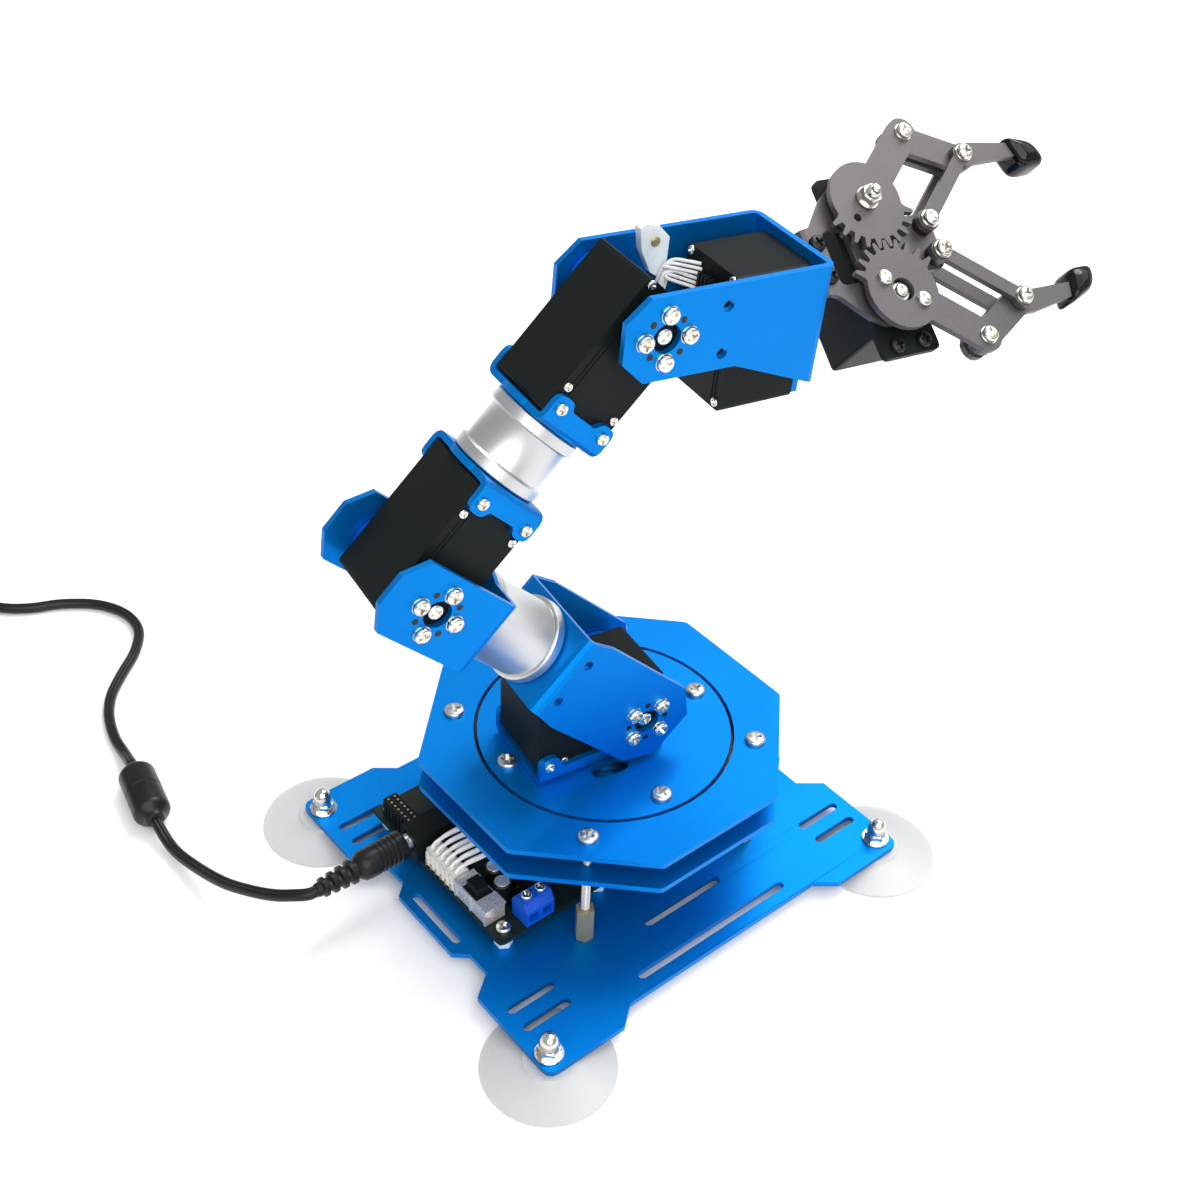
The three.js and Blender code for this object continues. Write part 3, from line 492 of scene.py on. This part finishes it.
def finish_nodes():
    blue = ["base_plate", "lower_deck", "upper_deck", "turntable", "shoulder_cradle",
            "shoulder_idler", "shoulder_bracket", "elbow_bracket", "elbow_idler",
            "forearm_lower_cup", "forearm_upper_cup", "wrist_bracket", "wrist_idler"]
    for name in blue:
        finish_node(name, BLUE, 0.3)
    for name in ["yaw_servo", "shoulder_servo", "elbow_servo", "wrist_servo", "roll_servo",
                 "gripper_servo", "power_jack"]:
        finish_node(name, BLACK, 0.4)
    for name in ["shoulder_horn", "elbow_horn", "wrist_horn", "roll_horn"]:
        finish_node(name, BLACK)
    for name in ["gripper_frame", "drive_crank", "idler_crank", "finger_link_right",
                 "finger_link_left", "finger_right", "finger_left"]:
        finish_node(name, GUNMETAL, 0.2)
    finish_node("bearing_outer_race", DARK_METAL)
    finish_node("bearing_inner_race", DARK_METAL)
    finish_node("yaw_horn", SILVER)
    finish_node("power_switch", TIN, 0.2)
    finish_node("control_board", PCB, 0.1)
    finish_node("screw_terminal", TERMINAL, 0.2)
    finish_node("power_adapter", ADAPTER, 1.2)


# Base pieces ---------------------------------------------------------------------------------

CORNERS = {
    "front_left": (72, 64), "front_right": (72, -64),
    "rear_left": (-72, 64), "rear_right": (-72, -64),
}
PILLAR_RADIUS = 50
PILLAR_FOOT, THREAD_START, THREAD_END, THREAD_PITCH = 15.9, 16.0, 47.6, 0.5
BOARD_HOLES = ((-57.5, -21.5), (-18.5, -21.5), (-57.5, 43.5), (-18.5, 43.5))
CAPACITORS = (  # x, y, radius and height
    (-50.4, -11.2, 3.1, 8.2), (-48.6, -4.4, 3.1, 8.2), (-42.3, -9.5, 2.6, 7),
)
PORTS = 6
PORT_PITCH = 2.7
PIN_START, PIN_PITCH = 1.6, 2.72  # the middle of the first port, and on to the next
HEADER_ROWS = [30.2 + 2.0 * i for i in range(7)]


def suction_cups():
    for name, (x, y) in CORNERS.items():
        cup = Piece(shift(x, y, 0))
        cup.lathe([
            (0, -2.1), (7, -2.2), (12, -2.7), (17, -3.6), (19.6, FLOOR_Z), (20.9, FLOOR_Z),
            (21.3, FLOOR_Z + 0.3), (21.2, FLOOR_Z + 0.6), (17, -3.1), (12.5, -1.9), (9.6, -1.3),
            (8.6, -0.9), (8.2, -0.3), (0, -0.3),
        ], steps=80)
        cup.done(f"cup_{name}", CLEAR, "base", [f"suction_cup_{name}"])
    nuts = Piece()
    for x, y in CORNERS.values():
        at = shift(x, y, SHEET)
        nuts.lathe([(0, 0.05), (4.7, 0.05), (4.7, 0.7), (4.5, 0.9), (0, 0.9)], at, 36)
        nuts.prism(circle(0, 0, 3.9, 6, 0.3), 0.9, 3.3, at, 0.35)
        nuts.lathe([
            (0, 3.2), (3.4, 3.2), (3.4, 3.6), (3.15, 3.9), (3.15, 5.6), (2.95, 6.8), (2.4, 7.9),
            (1.6, 8.7), (0.8, 9.1), (0, 9.2),
        ], at, 36)
    nuts.done("cap_nuts", CHROME, "base")


def pillars():
    for i, angle in enumerate((45, 135, 225, 315)):
        a = math.radians(angle)
        at = shift(PILLAR_RADIUS * math.cos(a), PILLAR_RADIUS * math.sin(a), 0)
        spacer = Piece(at)
        spacer.prism(circle(0, 0, 3.2, 6), 2.3, 16, bevel=0.3)
        spacer.done(f"pillar_standoff_{i + 1}", BRASS, "base", [f"deck_pillar_{i + 1}"])
        rod = Piece(at)
        profile = [(0, PILLAR_FOOT)]
        z = THREAD_START
        while z < THREAD_END:
            profile += [(1.36, z), (1.5, z + THREAD_PITCH / 2)]
            z += THREAD_PITCH
        profile += [(1.5, 48.4), (0, 48.4)]
        rod.lathe(profile, steps=20)
        rod.lathe([(0, 15.7), (1.5, 15.7), (1.5, 16), (0, 16)], steps=20)
        rod.lathe([(1.52, 32.6), (3.0, 32.6), (3.0, 33.2), (1.52, 33.2), (1.52, 32.6)], steps=28)
        rod.prism(circle(0, 0, 2.9, 6, 0.4), 33.2, 35.2, bevel=0.2)
        rod.done(f"pillar_screw_{i + 1}", ZINC, "base")
        head = Piece(at @ turn(25 + 40 * i, "Z"))
        head.copy(DOME_SCREW, shift(0, 0, DECK_SEAT))
        head.done(f"pillar_head_{i + 1}", ZINC, "base", angle=SCREW_ANGLE)


def board_parts():
    ports = Piece()
    for i in range(PORTS):
        y = 0.4 + PORT_PITCH * i
        ports.box((-61.4, y, 8.9), (-54.2, y + 2.55, 13.4), bevel=0.12)
        ports.box((-61.0, y + 0.12, 13.2), (-55.4, y + 2.43, 16.0), bevel=0.25)
        ports.box((-61.75, y + 0.75, 9.3), (-61.2, y + 1.8, 15.4), bevel=0.12)
        ports.box((-59.6, y + 0.5, 15.8), (-56.2, y + 2.05, 16.6), bevel=0.2)
    ports.done("port_plugs", PORT_WHITE, "base", ["servo_ports"])
    pins = Piece()
    for i in range(PORTS):
        y = PIN_START + PIN_PITCH * i
        for dz in (0, 1.6):
            pins.box((-62.3, y - 0.25, 9.6 + dz), (-61.6, y + 0.25, 10.1 + dz), bevel=0.05)
    for y in HEADER_ROWS:
        for x in (-58.7, -56.2):
            pins.box((x - 0.3, y - 0.3, BOARD_TOP), (x + 0.3, y + 0.3, 16.3), bevel=0.08)
    for i in range(8):
        for x in (-51.2, -20.5):
            y = -14 + 5.2 * i
            if x < -50 and y < 30:
                continue
            pins.box((x - 0.4, y - 0.4, BOARD_TOP), (x + 0.4, y + 0.4, 9.3), bevel=0.08)
    pins.done("board_pins", BRASS, "base")
    header = Piece()
    header.box((-60.1, 28.8, BOARD_TOP), (-54.8, 43.6, 16), bevel=0.3)
    for y in HEADER_ROWS:
        header.box((-60.5, y - 0.6, 9.4), (-60.0, y + 0.6, 15.7), bevel=0.12)
    header.box((-32, -8, BOARD_TOP), (-22, 6, 10.4), bevel=0.2)
    header.box((-45, 20, BOARD_TOP), (-36, 26, 10.2), bevel=0.2)
    header.box((-61.1, -16.8, 15.42), (-54.4, -1, 15.62), bevel=0.05)
    header.box((-60, -10.9, 15.5), (-55.6, -5.1, 18.9), bevel=0.3)
    header.done("board_blocks", BLACK, "base")
    cans = Piece()
    for x, y, r, h in CAPACITORS:
        cans.lathe([
            (0, BOARD_TOP), (r, BOARD_TOP), (r, 9.6), (r - 0.25, 9.9), (r, 10.2), (r, 8.6 + h),
            (r - 0.35, 9.0 + h), (0, 9.0 + h),
        ], shift(x, y, 0), 32)
    cans.done("capacitors", RUBBER, "base")
    lids = Piece()
    for x, y, can, h in CAPACITORS:
        r = can - 0.6
        lids.lathe([(0, 9.02 + h), (r, 9.02 + h), (r - 0.1, 9.2 + h), (0, 9.2 + h)],
                   shift(x, y, 0), 28)
    lids.box((-61.75, -17.75, 14.9), (-53.75, -12, 15.7), bevel=0.2)
    lids.box((-61.75, -4.2, 14.9), (-53.75, -0.15, 15.7), bevel=0.2)
    for y in (-17.6, -9.5, -1.4):
        lids.box((-61.9, y, 8.9), (-61.55, y + 1, 14.8), bevel=0.1)
    lids.done("board_metal", TIN, "base")
    screws = Piece()
    for x, y in BOARD_HOLES:
        screws.copy(SCREW, shift(x, y, BOARD_TOP - 0.05) @ turn(20, "Z"))
    for x in (-48.75, -43.25):
        screws.copy(SMALL_SCREW, shift(x, -22, 18.65))
    screws.done("board_screws", CHROME, "base", angle=SCREW_ANGLE)
    spacers = Piece()
    for x, y in BOARD_HOLES:
        spacers.prism(circle(x, y, 3.1, 6, 0.5), 2.05, 6.95, bevel=0.25)
    spacers.done("board_spacers", NYLON, "base")
    wires = Piece()
    for i in range(PORTS):
        y = PIN_START + PIN_PITCH * i
        for k in range(2):
            x = -59.4 + 1.9 * k
            lift = 18.2 + 0.6 * k + 0.3 * (i % 3)
            wires.sweep([
                (x, y, 15.2), (x + 0.3, y - 0.1, 16.9), (x + 3.0, y - 0.6, lift),
                (x + 11, y - 2.2, lift + 1.2), (-34 + k, 0.45 * y - 1.5, 21.5 + 0.4 * i),
                (-18, 0.25 * y - 3.5, 24 + 0.5 * i), (-10.5, 0.2 * y - 3.5, 23 + 0.6 * i),
            ], 0.62)
    wires.done("port_wires", WIRE_WHITE, "base")
    gland = Piece()
    gland.box((-13.2, -6, 20.5), (-9.4, 2.6, 28.5), bevel=0.8)
    gland.done("wire_gland", RUBBER, "base")


# Power lead ----------------------------------------------------------------------------------

LEAD_RADIUS = 2.0
REST_Z = FLOOR_Z + LEAD_RADIUS + 0.05  # the lead's middle where it lies on the surface
EXIT = (-66.2, 22.5, 16)
FALL = [
    (-99.9, 22.5, 16), (-102.4, 23.2, 15.8), (-105.6, 26.2, 14.9), (-109.6, 31.6, 12.8),
    (-113.6, 40.7, 9.4), (-117.4, 53, 5.2), (-120, 69, 1), (-121.2, 82, -0.9),
    (-120.8, 93.3, 1.6),
]
BEAD = (-117.9, 108)
BEAD_LEAN = 11.5
BEAD_RADIUS = 6.5
ALONG = [
    (-114.9, 122.9, 1.9), (-114.3, 126, 1.2), (-113, 134, -1.4), (-111.8, 144.5, REST_Z),
    (-108.2, 156.5, REST_Z), (-102.2, 166.6, REST_Z), (-93.6, 175.2, REST_Z),
    (-83.8, 184, REST_Z), (-76.6, 195, REST_Z), (-76.2, 207.5, REST_Z),
    (-82.4, 219.4, REST_Z), (-93.4, 228.2, REST_Z), (-104.5, 233.2, REST_Z),
    (-113, 239.6, REST_Z), (-118, 247.5, REST_Z), (-119.3, 254, REST_Z),
]
TAIL = [(-175.2, 239.5, 0.2), (-175.1, 234.5, 0.2), (-175, 229, 1.2), (-175, 223.3, 2.4)]
COIL = (-150, 258)
COIL_RADIUS = 26.5
COIL_SHIFTS = ((1, -4), (2, -4), (4, 4), (5, 4))  # after so many turns, the radius changes by this
COIL_START, COIL_END, COIL_TURNS = 38, 185, 6
POINTS_A_TURN = 20
ADAPTER_INLET = (-175, 222.9, 2.45)


def ease(t):
    t = min(1, max(0, t))
    return t * t * (3 - 2 * t)


def coil_points():
    """Three turns on the surface, winding in, and three on top of them, winding out."""
    points = []
    total = COIL_TURNS * 360 + COIL_END - COIL_START
    count = int(total / 360 * POINTS_A_TURN)
    for i in range(count + 1):
        swept = total * i / count
        turns = swept / 360
        radius = COIL_RADIUS
        for step, change in COIL_SHIFTS:
            radius += change * ease((turns - step) * 6 + 0.5)
        climb = ease((turns - COIL_TURNS / 2) * 5 + 0.5)
        height = REST_Z + 0.02 + 2 * LEAD_RADIUS * climb
        a = math.radians(COIL_START + swept)
        points.append((COIL[0] + radius * math.cos(a), COIL[1] + radius * math.sin(a), height))
    return points


def twin_section(radius, notch, sides):
    """A round cord with a groove along its top and bottom, between its two cores."""
    groove_width = 0.35
    points = []
    for i in range(sides):
        a = 2 * math.pi * i / sides
        depth = notch * max(0, 1 - abs(math.cos(a)) / groove_width)
        points.append(((radius - depth) * math.cos(a), (radius - depth) * math.sin(a)))
    return points


def plug_profile():
    """A ribbed grip, then a tapering relief in rings, from the plug's shoulder outwards."""
    profile = [(0, 0), (4.5, 0), (5.1, 0.5), (5.2, 1.2)]
    for k in range(5):
        z = 3 + 1.7 * k
        profile += [(5.2, z), (4.8, z + 0.35), (4.8, z + 0.75), (5.2, z + 1.1)]
    profile += [(5.2, 14.5), (4.9, 16.4), (4.2, 17.3)]
    for k in range(4):
        z = 18.3 + 3.4 * k
        outer = 4.2 - 0.28 * k
        inner = outer - 0.95
        profile += [
            (inner, z), (inner, z + 0.8), (outer, z + 1.2), (outer, z + 2.5), (inner, z + 2.9),
        ]
    return profile + [(2.4, 32.4), (2.3, 33), (0, 33)]


def lead_tie():
    """A band round the coil's cords, its underside on the surface."""
    tie = Piece(shift(*COIL, 0) @ turn(100, "Z") @ shift(22.5, 0, 0) @ turn(90, "X"))
    half_width, corner = 2.6, 2.6
    loops = []
    for half, under, top in ((6.3, -4.2, 3.85), (7.0, FLOOR_Z, 4.55)):
        corners = [(-half, under), (half, under), (half, top), (-half, top)]
        loops.append(rounded([(x, z, corner) for x, z in corners], 5))
    inner, outer = loops
    rings = []
    for loop, z in (
        (inner, -half_width), (outer, -half_width), (outer, half_width), (inner, half_width),
    ):
        rings.append([tie.bm.verts.new(tie.matrix @ Vector((x, y, z))) for x, y in loop])
    for a, b in zip(rings, rings[1:] + rings[:1]):
        for i in range(len(a)):
            j = (i + 1) % len(a)
            tie.bm.faces.new((a[i], a[j], b[j], b[i]))
    tie.done("lead_tie", RUBBER, "base")


def power_lead():
    start = [(-90.5, 22.5, 16), (-95, 22.5, 16)]
    bead = [(-118.9, 103.5, 2.05), (-116.9, 113, 2.05)]
    join = [(-119.8, 261, REST_Z), (-122.8, 269, REST_Z)]
    leave = [(-176.2, 248, 1.2)]
    points = [*start, *FALL, *bead, *ALONG, *join, *coil_points(), *leave, *TAIL]
    line = smooth_line([Vector(p) for p in points], 4)
    cord = Piece()
    cord.loft(line, twin_section(LEAD_RADIUS, 0.5, 24))
    lead = cord.done("power_lead", RUBBER, "base",
                     ["lead_near", "lead_far", "lead_coil", "lead_tail"], angle=60)
    at = shift(*EXIT) @ turn(-90, "Y")
    barrel = Piece(at)
    barrel.lathe([
        (0, -8), (2.6, -8), (2.75, -7.8), (2.75, -2.2), (2.55, -2), (2.75, -1.8), (2.75, 0.4),
        (0, 0.4),
    ])
    barrel.done("plug_barrel", ZINC, "base")
    plug = Piece(at)
    plug.lathe(plug_profile(), steps=48)
    plug.done("plug_body", RUBBER, "base", ["lead_plug"])
    ferrite = Piece(
        shift(*BEAD, FLOOR_Z + BEAD_RADIUS + 0.05) @ turn(-BEAD_LEAN, "Z") @ turn(-90, "X")
    )
    half = [
        (0, 14.5), (2.6, 14.5), (3.2, 14.1), (3.5, 13), (4.4, 11.9), (5.8, 10.9), (6.4, 9.9),
        (BEAD_RADIUS, 9.2), (BEAD_RADIUS, 0.3), (6.38, 0.15),
    ]
    ferrite.lathe([(r, -z) for r, z in half] + half[::-1], steps=56)
    ferrite.done("ferrite", RUBBER, "base", ["ferrite_bead"])
    relief = Piece(shift(*ADAPTER_INLET) @ turn(-90, "X"))
    relief.lathe([
        (0, -0.4), (3.6, -0.4), (3.6, 0.6), (2.9, 1.2), (3.3, 1.6), (3.3, 2.6), (2.7, 3.0),
        (2.95, 3.4), (2.95, 4.3), (2.45, 4.8), (2.35, 7.5), (0, 7.5),
    ])
    relief.done("adapter_relief", RUBBER, "base")
    lead_tie()


# Joint hardware ------------------------------------------------------------------------------

HORN_CIRCLE, PIT_CIRCLE = 7, 6.7
CASE_SCREW_ENDS = (-8.0, 26.3)


def washer(piece, at, radius=2.8, low=0.02, high=0.45):
    piece.lathe([(0, low), (radius, low), (radius, high), (0, high)], at, 32)


def joint_screws(name, place, body):
    """Four screws on each horn, dark discs for the holes between them (black horn and painted
    shade), and one in its middle, on both sides.
    """
    piece = Piece(place)
    pits = Piece(place)
    for flip in (BASE, MIRROR):
        for k in range(4):
            a = math.radians(90 * k)
            at = flip @ shift(HORN_CIRCLE * math.cos(a), HORN_CIRCLE * math.sin(a),
                              BRACKET_HALF + 0.03)
            washer(piece, at, 2.7, 0, 0.2)
            piece.copy(SCREW, at @ shift(0, 0, 0.2) @ turn(17 + 31 * k, "Z"))
            a += math.radians(45)
            # painted shade: a dark disc for each hole, partly the black horn's own colour and
            # partly painted shade inside the hole
            at = flip @ shift(PIT_CIRCLE * math.cos(a), PIT_CIRCLE * math.sin(a), BRACKET_HALF)
            pits.lathe([(0, 0.01), (0.95, 0.01), (1.0, 0.06), (0.85, 0.08), (0, 0.04)], at, 24)
        piece.copy(SCREW, flip @ shift(0, 0, BRACKET_HALF - 2.2) @ turn(50, "Z"))
    piece.done(name, CHROME, body, angle=SCREW_ANGLE)
    pits.done(f"{name}_pits", DARK_METAL, body)


def case_trim(name, place, body, groove, ends=CASE_SCREW_ENDS):
    """The seams along a servo's cheeks, on its groove side (1 or -1), and its lids' screws."""
    seams = Piece(place)
    for side in (-1, 1):
        low, high = sorted((side * (SERVO_DEPTH - 0.3), side * (SERVO_DEPTH + 0.2)))
        for y in (8.0 * groove, 9.3 * groove):
            seams.box((1 - SERVO_FRONT, y - 0.3, low), (SERVO_BACK - 4, y + 0.3, high), bevel=0.12)
    seams.done(f"{name}_seams", BLACK, body)
    screws = Piece(place)
    for flip in (BASE, MIRROR):
        for x in ends:
            for y in (-10.4, 10.4):
                screws.copy(CASE_SCREW, flip @ shift(x, y, SERVO_DEPTH) @ turn(30, "Z"))
    screws.done(f"{name}_screws", CHROME, body, angle=SCREW_ANGLE)


def cup_screws(name, place, body):
    piece = Piece(place)
    for flip in (BASE, MIRROR):
        for y in (-9.3, 9.3):
            piece.copy(SMALL_SCREW, flip @ shift(31.8, y, CUP_HALF + 0.02) @ turn(25, "Z"))
    piece.done(name, CHROME, body, angle=SCREW_ANGLE)


def arm_tube(name, place, start, length, body, node):
    """A turned tube with a flange and a fine groove at each end."""
    bore, wall, flange, deep = 10, 12.5, 13.7, 4
    profile = [
        (bore, 0.4), (bore + 0.4, 0), (flange - 0.5, 0), (flange, 0.5), (flange, deep - 0.5),
        (flange - 0.4, deep - 0.1), (wall + 0.15, deep + 0.1), (wall, deep + 0.5),
        (wall, length - deep - 0.5), (wall + 0.15, length - deep - 0.1),
        (flange - 0.4, length - deep + 0.1), (flange, length - deep + 0.5), (flange, length - 0.5),
        (flange - 0.5, length), (bore + 0.4, length), (bore, length - 0.4), (bore, 0.4),
    ]
    tube = Piece(place @ shift(start, 0, 0) @ turn(90, "Y"))
    tube.lathe(profile, steps=96)
    tube.done(name, SILVER, body, [node])


def arm():
    cradle = Piece(CRADLE)
    for flip, side in ((BASE, 1), (MIRROR, -1)):
        for y in (-32.8, 6.2):
            cradle.copy(SMALL_SCREW, flip @ shift(8.6, side * y, CUP_HALF + 0.02) @ turn(40, "Z"))
    cradle.done("cradle_screws", CHROME, "turntable", angle=SCREW_ANGLE)
    deck = Piece(TURRET)
    circle_radius = 36
    for k in range(4):
        a = math.radians(90 * k)
        at = shift(circle_radius * math.cos(a), circle_radius * math.sin(a), DECK_SEAT)
        deck.copy(DOME_SCREW, at @ turn(33 * k, "Z"))
    deck.done("turntable_screws", ZINC, "turntable", angle=SCREW_ANGLE)
    case_trim("shoulder_case", SHOULDER_SERVO, "turntable", 1)

    joint_screws("shoulder_screws", LOWER, "lower_arm")
    joint_screws("elbow_screws", LOWER_TOP, "lower_arm")
    arm_tube("lower_tube", LOWER, 45.3, 31.7, "lower_arm", "lower_arm_tube")
    case_trim("elbow_case", FORE, "forearm", 1)
    case_trim("wrist_case", FORE_TOP, "forearm", -1)
    cup_screws("lower_cup_screws", FORE, "forearm")
    cup_screws("upper_cup_screws", FORE_TOP, "forearm")
    arm_tube("fore_tube", FORE, 38.3, 19.8, "forearm", "forearm_tube")
    joint_screws("wrist_screws", HAND, "wrist")
    case_trim("roll_case", ROLL_SERVO, "wrist", -1, (-8.0, 29.6))
    grommet = Piece(ROLL_SERVO @ shift(0, 0, -SERVO_DEPTH))
    grommet.box((-4.5, -3.6, -1.6), (0.5, 3.6, 0.1), bevel=0.4)
    for k in range(4):
        grommet.box((-5, -3 + 1.7 * k, -2.6), (1, -2.1 + 1.7 * k, -0.1), bevel=0.2)
    grommet.done("roll_grommet", RUBBER, "wrist")


# Gripper pieces ------------------------------------------------------------------------------

def gripper():
    frame_screws = Piece(JAW)
    for y in (-5.1, 5.1):
        frame_screws.copy(SCREW, shift(61.4, y, PLATE_TOP + 0.02) @ turn(20, "Z"))
    frame_screws.done("frame_screws", DARK_METAL, "gripper", angle=SCREW_ANGLE)
    ears = Piece(JAW)
    for x, y in ((76.3, -28.6), (86, -28.6)):
        ears.copy(SCREW, shift(x, y, 5.02) @ turn(8, "Z") @ Matrix.Scale(0.95, 4))
    ears.done("gripper_servo_screws", DARK_METAL, "gripper", angle=SCREW_ANGLE)
    idler_bolt()
    for name, side in (("right", -1), ("left", 1)):
        pivot_hardware(name, side)
        jaw_screws(name, side)
        finger_boot(name, side)
    at = JAW @ shift(GEAR[0], -GEAR[1], 0)
    shaft = Piece(at)
    shaft.lathe([(0, 7.9), (3.1, 7.9), (3.1, 9.6), (2.8, 9.9), (0, 9.9)], steps=32)
    shaft.done("drive_hub", SILVER, "drive_crank")
    centre = Piece(at)
    centre.copy(SMALL_SCREW, shift(0, 0, 9.9) @ turn(10, "Z") @ Matrix.Scale(1.15, 4))
    centre.done("drive_hub_screw", CHROME, "drive_crank", angle=SCREW_ANGLE)


def idler_bolt():
    """Collars under the idler gear, and a washer, a nut and the bolt's end above it."""
    bolt = Piece(JAW @ shift(*GEAR, 0))
    nut = GEAR_TOP + GAP
    bolt.lathe([
        (0, 3), (3, 3), (3, 4.9), (1.75, 5), (1.75, 7.7), (3.5, 7.7), (3.5, 9.1), (1.75, 9.2),
        (1.75, 11), (1.75, nut), (3.6, nut), (3.6, nut + 0.6), (0, nut + 0.6),
    ], steps=32)
    bolt.prism(circle(0, 0, 3.2, 6, 0.2), nut + 0.6, nut + 3.2, bevel=0.25)
    bolt.lathe([
        (0, nut + 3), (2.3, nut + 3), (2.2, nut + 4.1), (1.8, nut + 4.8), (1.45, nut + 5),
        (1.4, nut + 5.9), (0.9, nut + 6.2), (0, nut + 6.2),
    ], steps=28)
    bolt.done("idler_bolt_nut", CHROME, "gripper", ["idler_bolt"])


def pivot_hardware(name, side):
    at = JAW @ shift(PIVOT[0], side * PIVOT[1], 0)
    collar = Piece(at)
    collar.lathe([(1.9, 2.8), (3.3, 2.8), (3.3, 5), (1.9, 5), (1.9, 2.8)], steps=32)
    collar.lathe([(1.9, 7.6), (3.3, 7.6), (3.3, 9.2), (1.9, 9.2), (1.9, 7.6)], steps=32)
    collar.done(f"pivot_collar_{name}", DARK_METAL, "gripper", [f"link_pivot_{name}"])
    pin = Piece(at)
    pin.lathe([(0, -1.5), (1.75, -1.5), (1.75, 11.7), (0, 11.7)], steps=24)
    washer(pin, BASE, 2.9, 11.75, 12.2)
    pin.copy(SCREW, shift(0, 0, 12.2) @ turn(30 * side, "Z"))
    pin.done(f"pivot_screw_{name}", CHROME, "gripper", angle=SCREW_ANGLE)


def jaw_screws(name, side):
    """The screw and washer on a crank's end and on a finger link's, and the drive horn's two."""
    x, y = crank_pin(side)
    crank = Piece(JAW)
    washer(crank, shift(x, y, GEAR_TOP))
    crank.copy(SCREW, shift(x, y, GEAR_TOP + 0.45) @ turn(12, "Z"))
    if side < 0:
        a = math.radians(-CRANK_ANGLE)
        for out in (-6.7, 6.7):
            at = shift(GEAR[0] + out * math.cos(a), -GEAR[1] + out * math.sin(a), GEAR_TOP + 0.02)
            crank.copy(SMALL_SCREW, at @ turn(25, "Z") @ Matrix.Scale(1.3, 4))
    body = "drive_crank" if side < 0 else "idler_crank"
    crank.done(f"crank_screws_{name}", CHROME, body, angle=SCREW_ANGLE)
    x, y = finger_pin(side)
    link = Piece(JAW)
    washer(link, shift(x, y, GEAR_TOP))
    link.copy(SCREW, shift(x, y, GEAR_TOP + 0.45) @ turn(-20, "Z"))
    link.done(f"link_screw_{name}", CHROME, f"link_{name}", angle=SCREW_ANGLE)


def finger_boot(name, side):
    corners = [(142.3, 28.6, 2.6), (153, 25.2, 4), (155.3, 17.4, 3.2), (145.4, 17.4, 3.6)]
    outline = rounded([(x, side * y, radius) for x, y, radius in corners], 6)
    if side < 0:
        outline = outline[::-1]
    boot = Piece(JAW)
    boot.pillow(outline, [
        (1.2, 0.8), (1.5, 0.9), (2.2, 0.97), (3.2, 1), (7.8, 1), (8.9, 0.97), (9.8, 0.9),
        (10.45, 0.79), (10.8, 0.66), (10.9, 0.6), (11.15, 0.5), (11.4, 0.36), (11.5, 0.2),
    ])
    boot.done(f"boot_{name}", GLOSS_RUBBER, f"finger_{name}",
              [f"finger_pad_{name}"], angle=60)


def wrist_loom():
    """A nylon clip between the wrist and roll servos, and the white wires it holds."""
    clip = Piece(HAND)
    back, front = -17, -13.9
    clip.prism([
        (10.4, 15), (12.2, 16.2), (16.6, 15), (20.4, 11.2), (20.4, 4.6), (18.6, -1), (15.2, 1.2),
        (11.6, 8.2),
    ], back, front, bevel=0.5)
    clip.done("wire_clip", NYLON, "wrist")
    rivet = Piece(HAND @ shift(15.8, 10.4, front - 0.05))
    rivet.lathe([(0, 0), (1.5, 0), (1.5, 0.25), (1.1, 0.5), (0.6, 0.3), (0, 0.3)], steps=24)
    rivet.done("clip_rivet", BRASS, "wrist")
    wires = Piece(HAND)
    for k in range(6):
        x, z = 0.9 * (k % 3), -12.8 + 1.5 * (k // 3)
        wires.sweep([
            (25.9, 6.2 - 1.35 * k, -5 + 0.7 * k), (23.4, 6.2 - 1.25 * k, -7.5 + 0.6 * k),
            (20.4 - x, 5.2 - 0.9 * k, z + 1.2), (17.8 + x, 1.2, z), (16.9 + x, -5, z),
            (18.4 + x, -12, z + 1), (22.5 + 0.4 * x, -18 - 0.5 * k, z + 4),
            (25.9, -21 - 0.7 * k, z + 7),
        ], 0.5)
    wires.done("loom_wires", WIRE_WHITE, "wrist")


# Setting, in metres --------------------------------------------------------------------------

FLOOR_SIZE = 12.0
WORLD_STRENGTH = 0.5
SUNS = (  # name, the direction it comes from, its spread in degrees and its strength
    ("key", (-0.4, -0.7, 0.72), 60, 2.3),
    ("rim", (0.5, -0.1, 0.85), 60, 1.0),
)
SOFTBOX_PLACE = (0.62, 0.16, 1.12)
SOFTBOX_AIM = (0, 0, 0.05)


def add_light(name, kind, energy, towards):
    """A light that shines against the direction given."""
    data = bpy.data.lights.new(name, kind)
    data.energy = energy
    light = bpy.data.objects.new(name, data)
    light.rotation_euler = towards.to_track_quat("Z", "Y").to_euler()
    bpy.context.scene.collection.objects.link(light)
    return light


def setting():
    floor = bpy.data.meshes.new("floor")
    size, z = FLOOR_SIZE, FLOOR_Z / 1000 - 0.0002
    corners = [(-size, -size, z), (size, -size, z), (size, size, z), (-size, size, z)]
    floor.from_pydata(corners, [], [(0, 1, 2, 3)])
    floor.materials.append(FLOOR)
    made = bpy.data.objects.new("floor", floor)
    bpy.context.scene.collection.objects.link(made)
    world = bpy.data.worlds.new("studio")
    bpy.context.scene.world = world
    world.use_nodes = True
    background = world.node_tree.nodes["Background"]
    background.inputs["Color"].default_value = (1, 1, 1, 1)
    background.inputs["Strength"].default_value = WORLD_STRENGTH
    for name, direction, spread, strength in SUNS:
        sun = add_light(name, "SUN", strength, Vector(direction))
        sun.data.angle = math.radians(spread)
    place = Vector(SOFTBOX_PLACE)
    softbox = add_light("softbox", "AREA", 10, place - Vector(SOFTBOX_AIM))
    softbox.data.shape = "DISK"
    softbox.data.size = 0.8
    softbox.location = place


camera()
power_lead()
finish_nodes()
suction_cups()
pillars()
board_parts()
arm()
gripper()
wrist_loom()
setting()
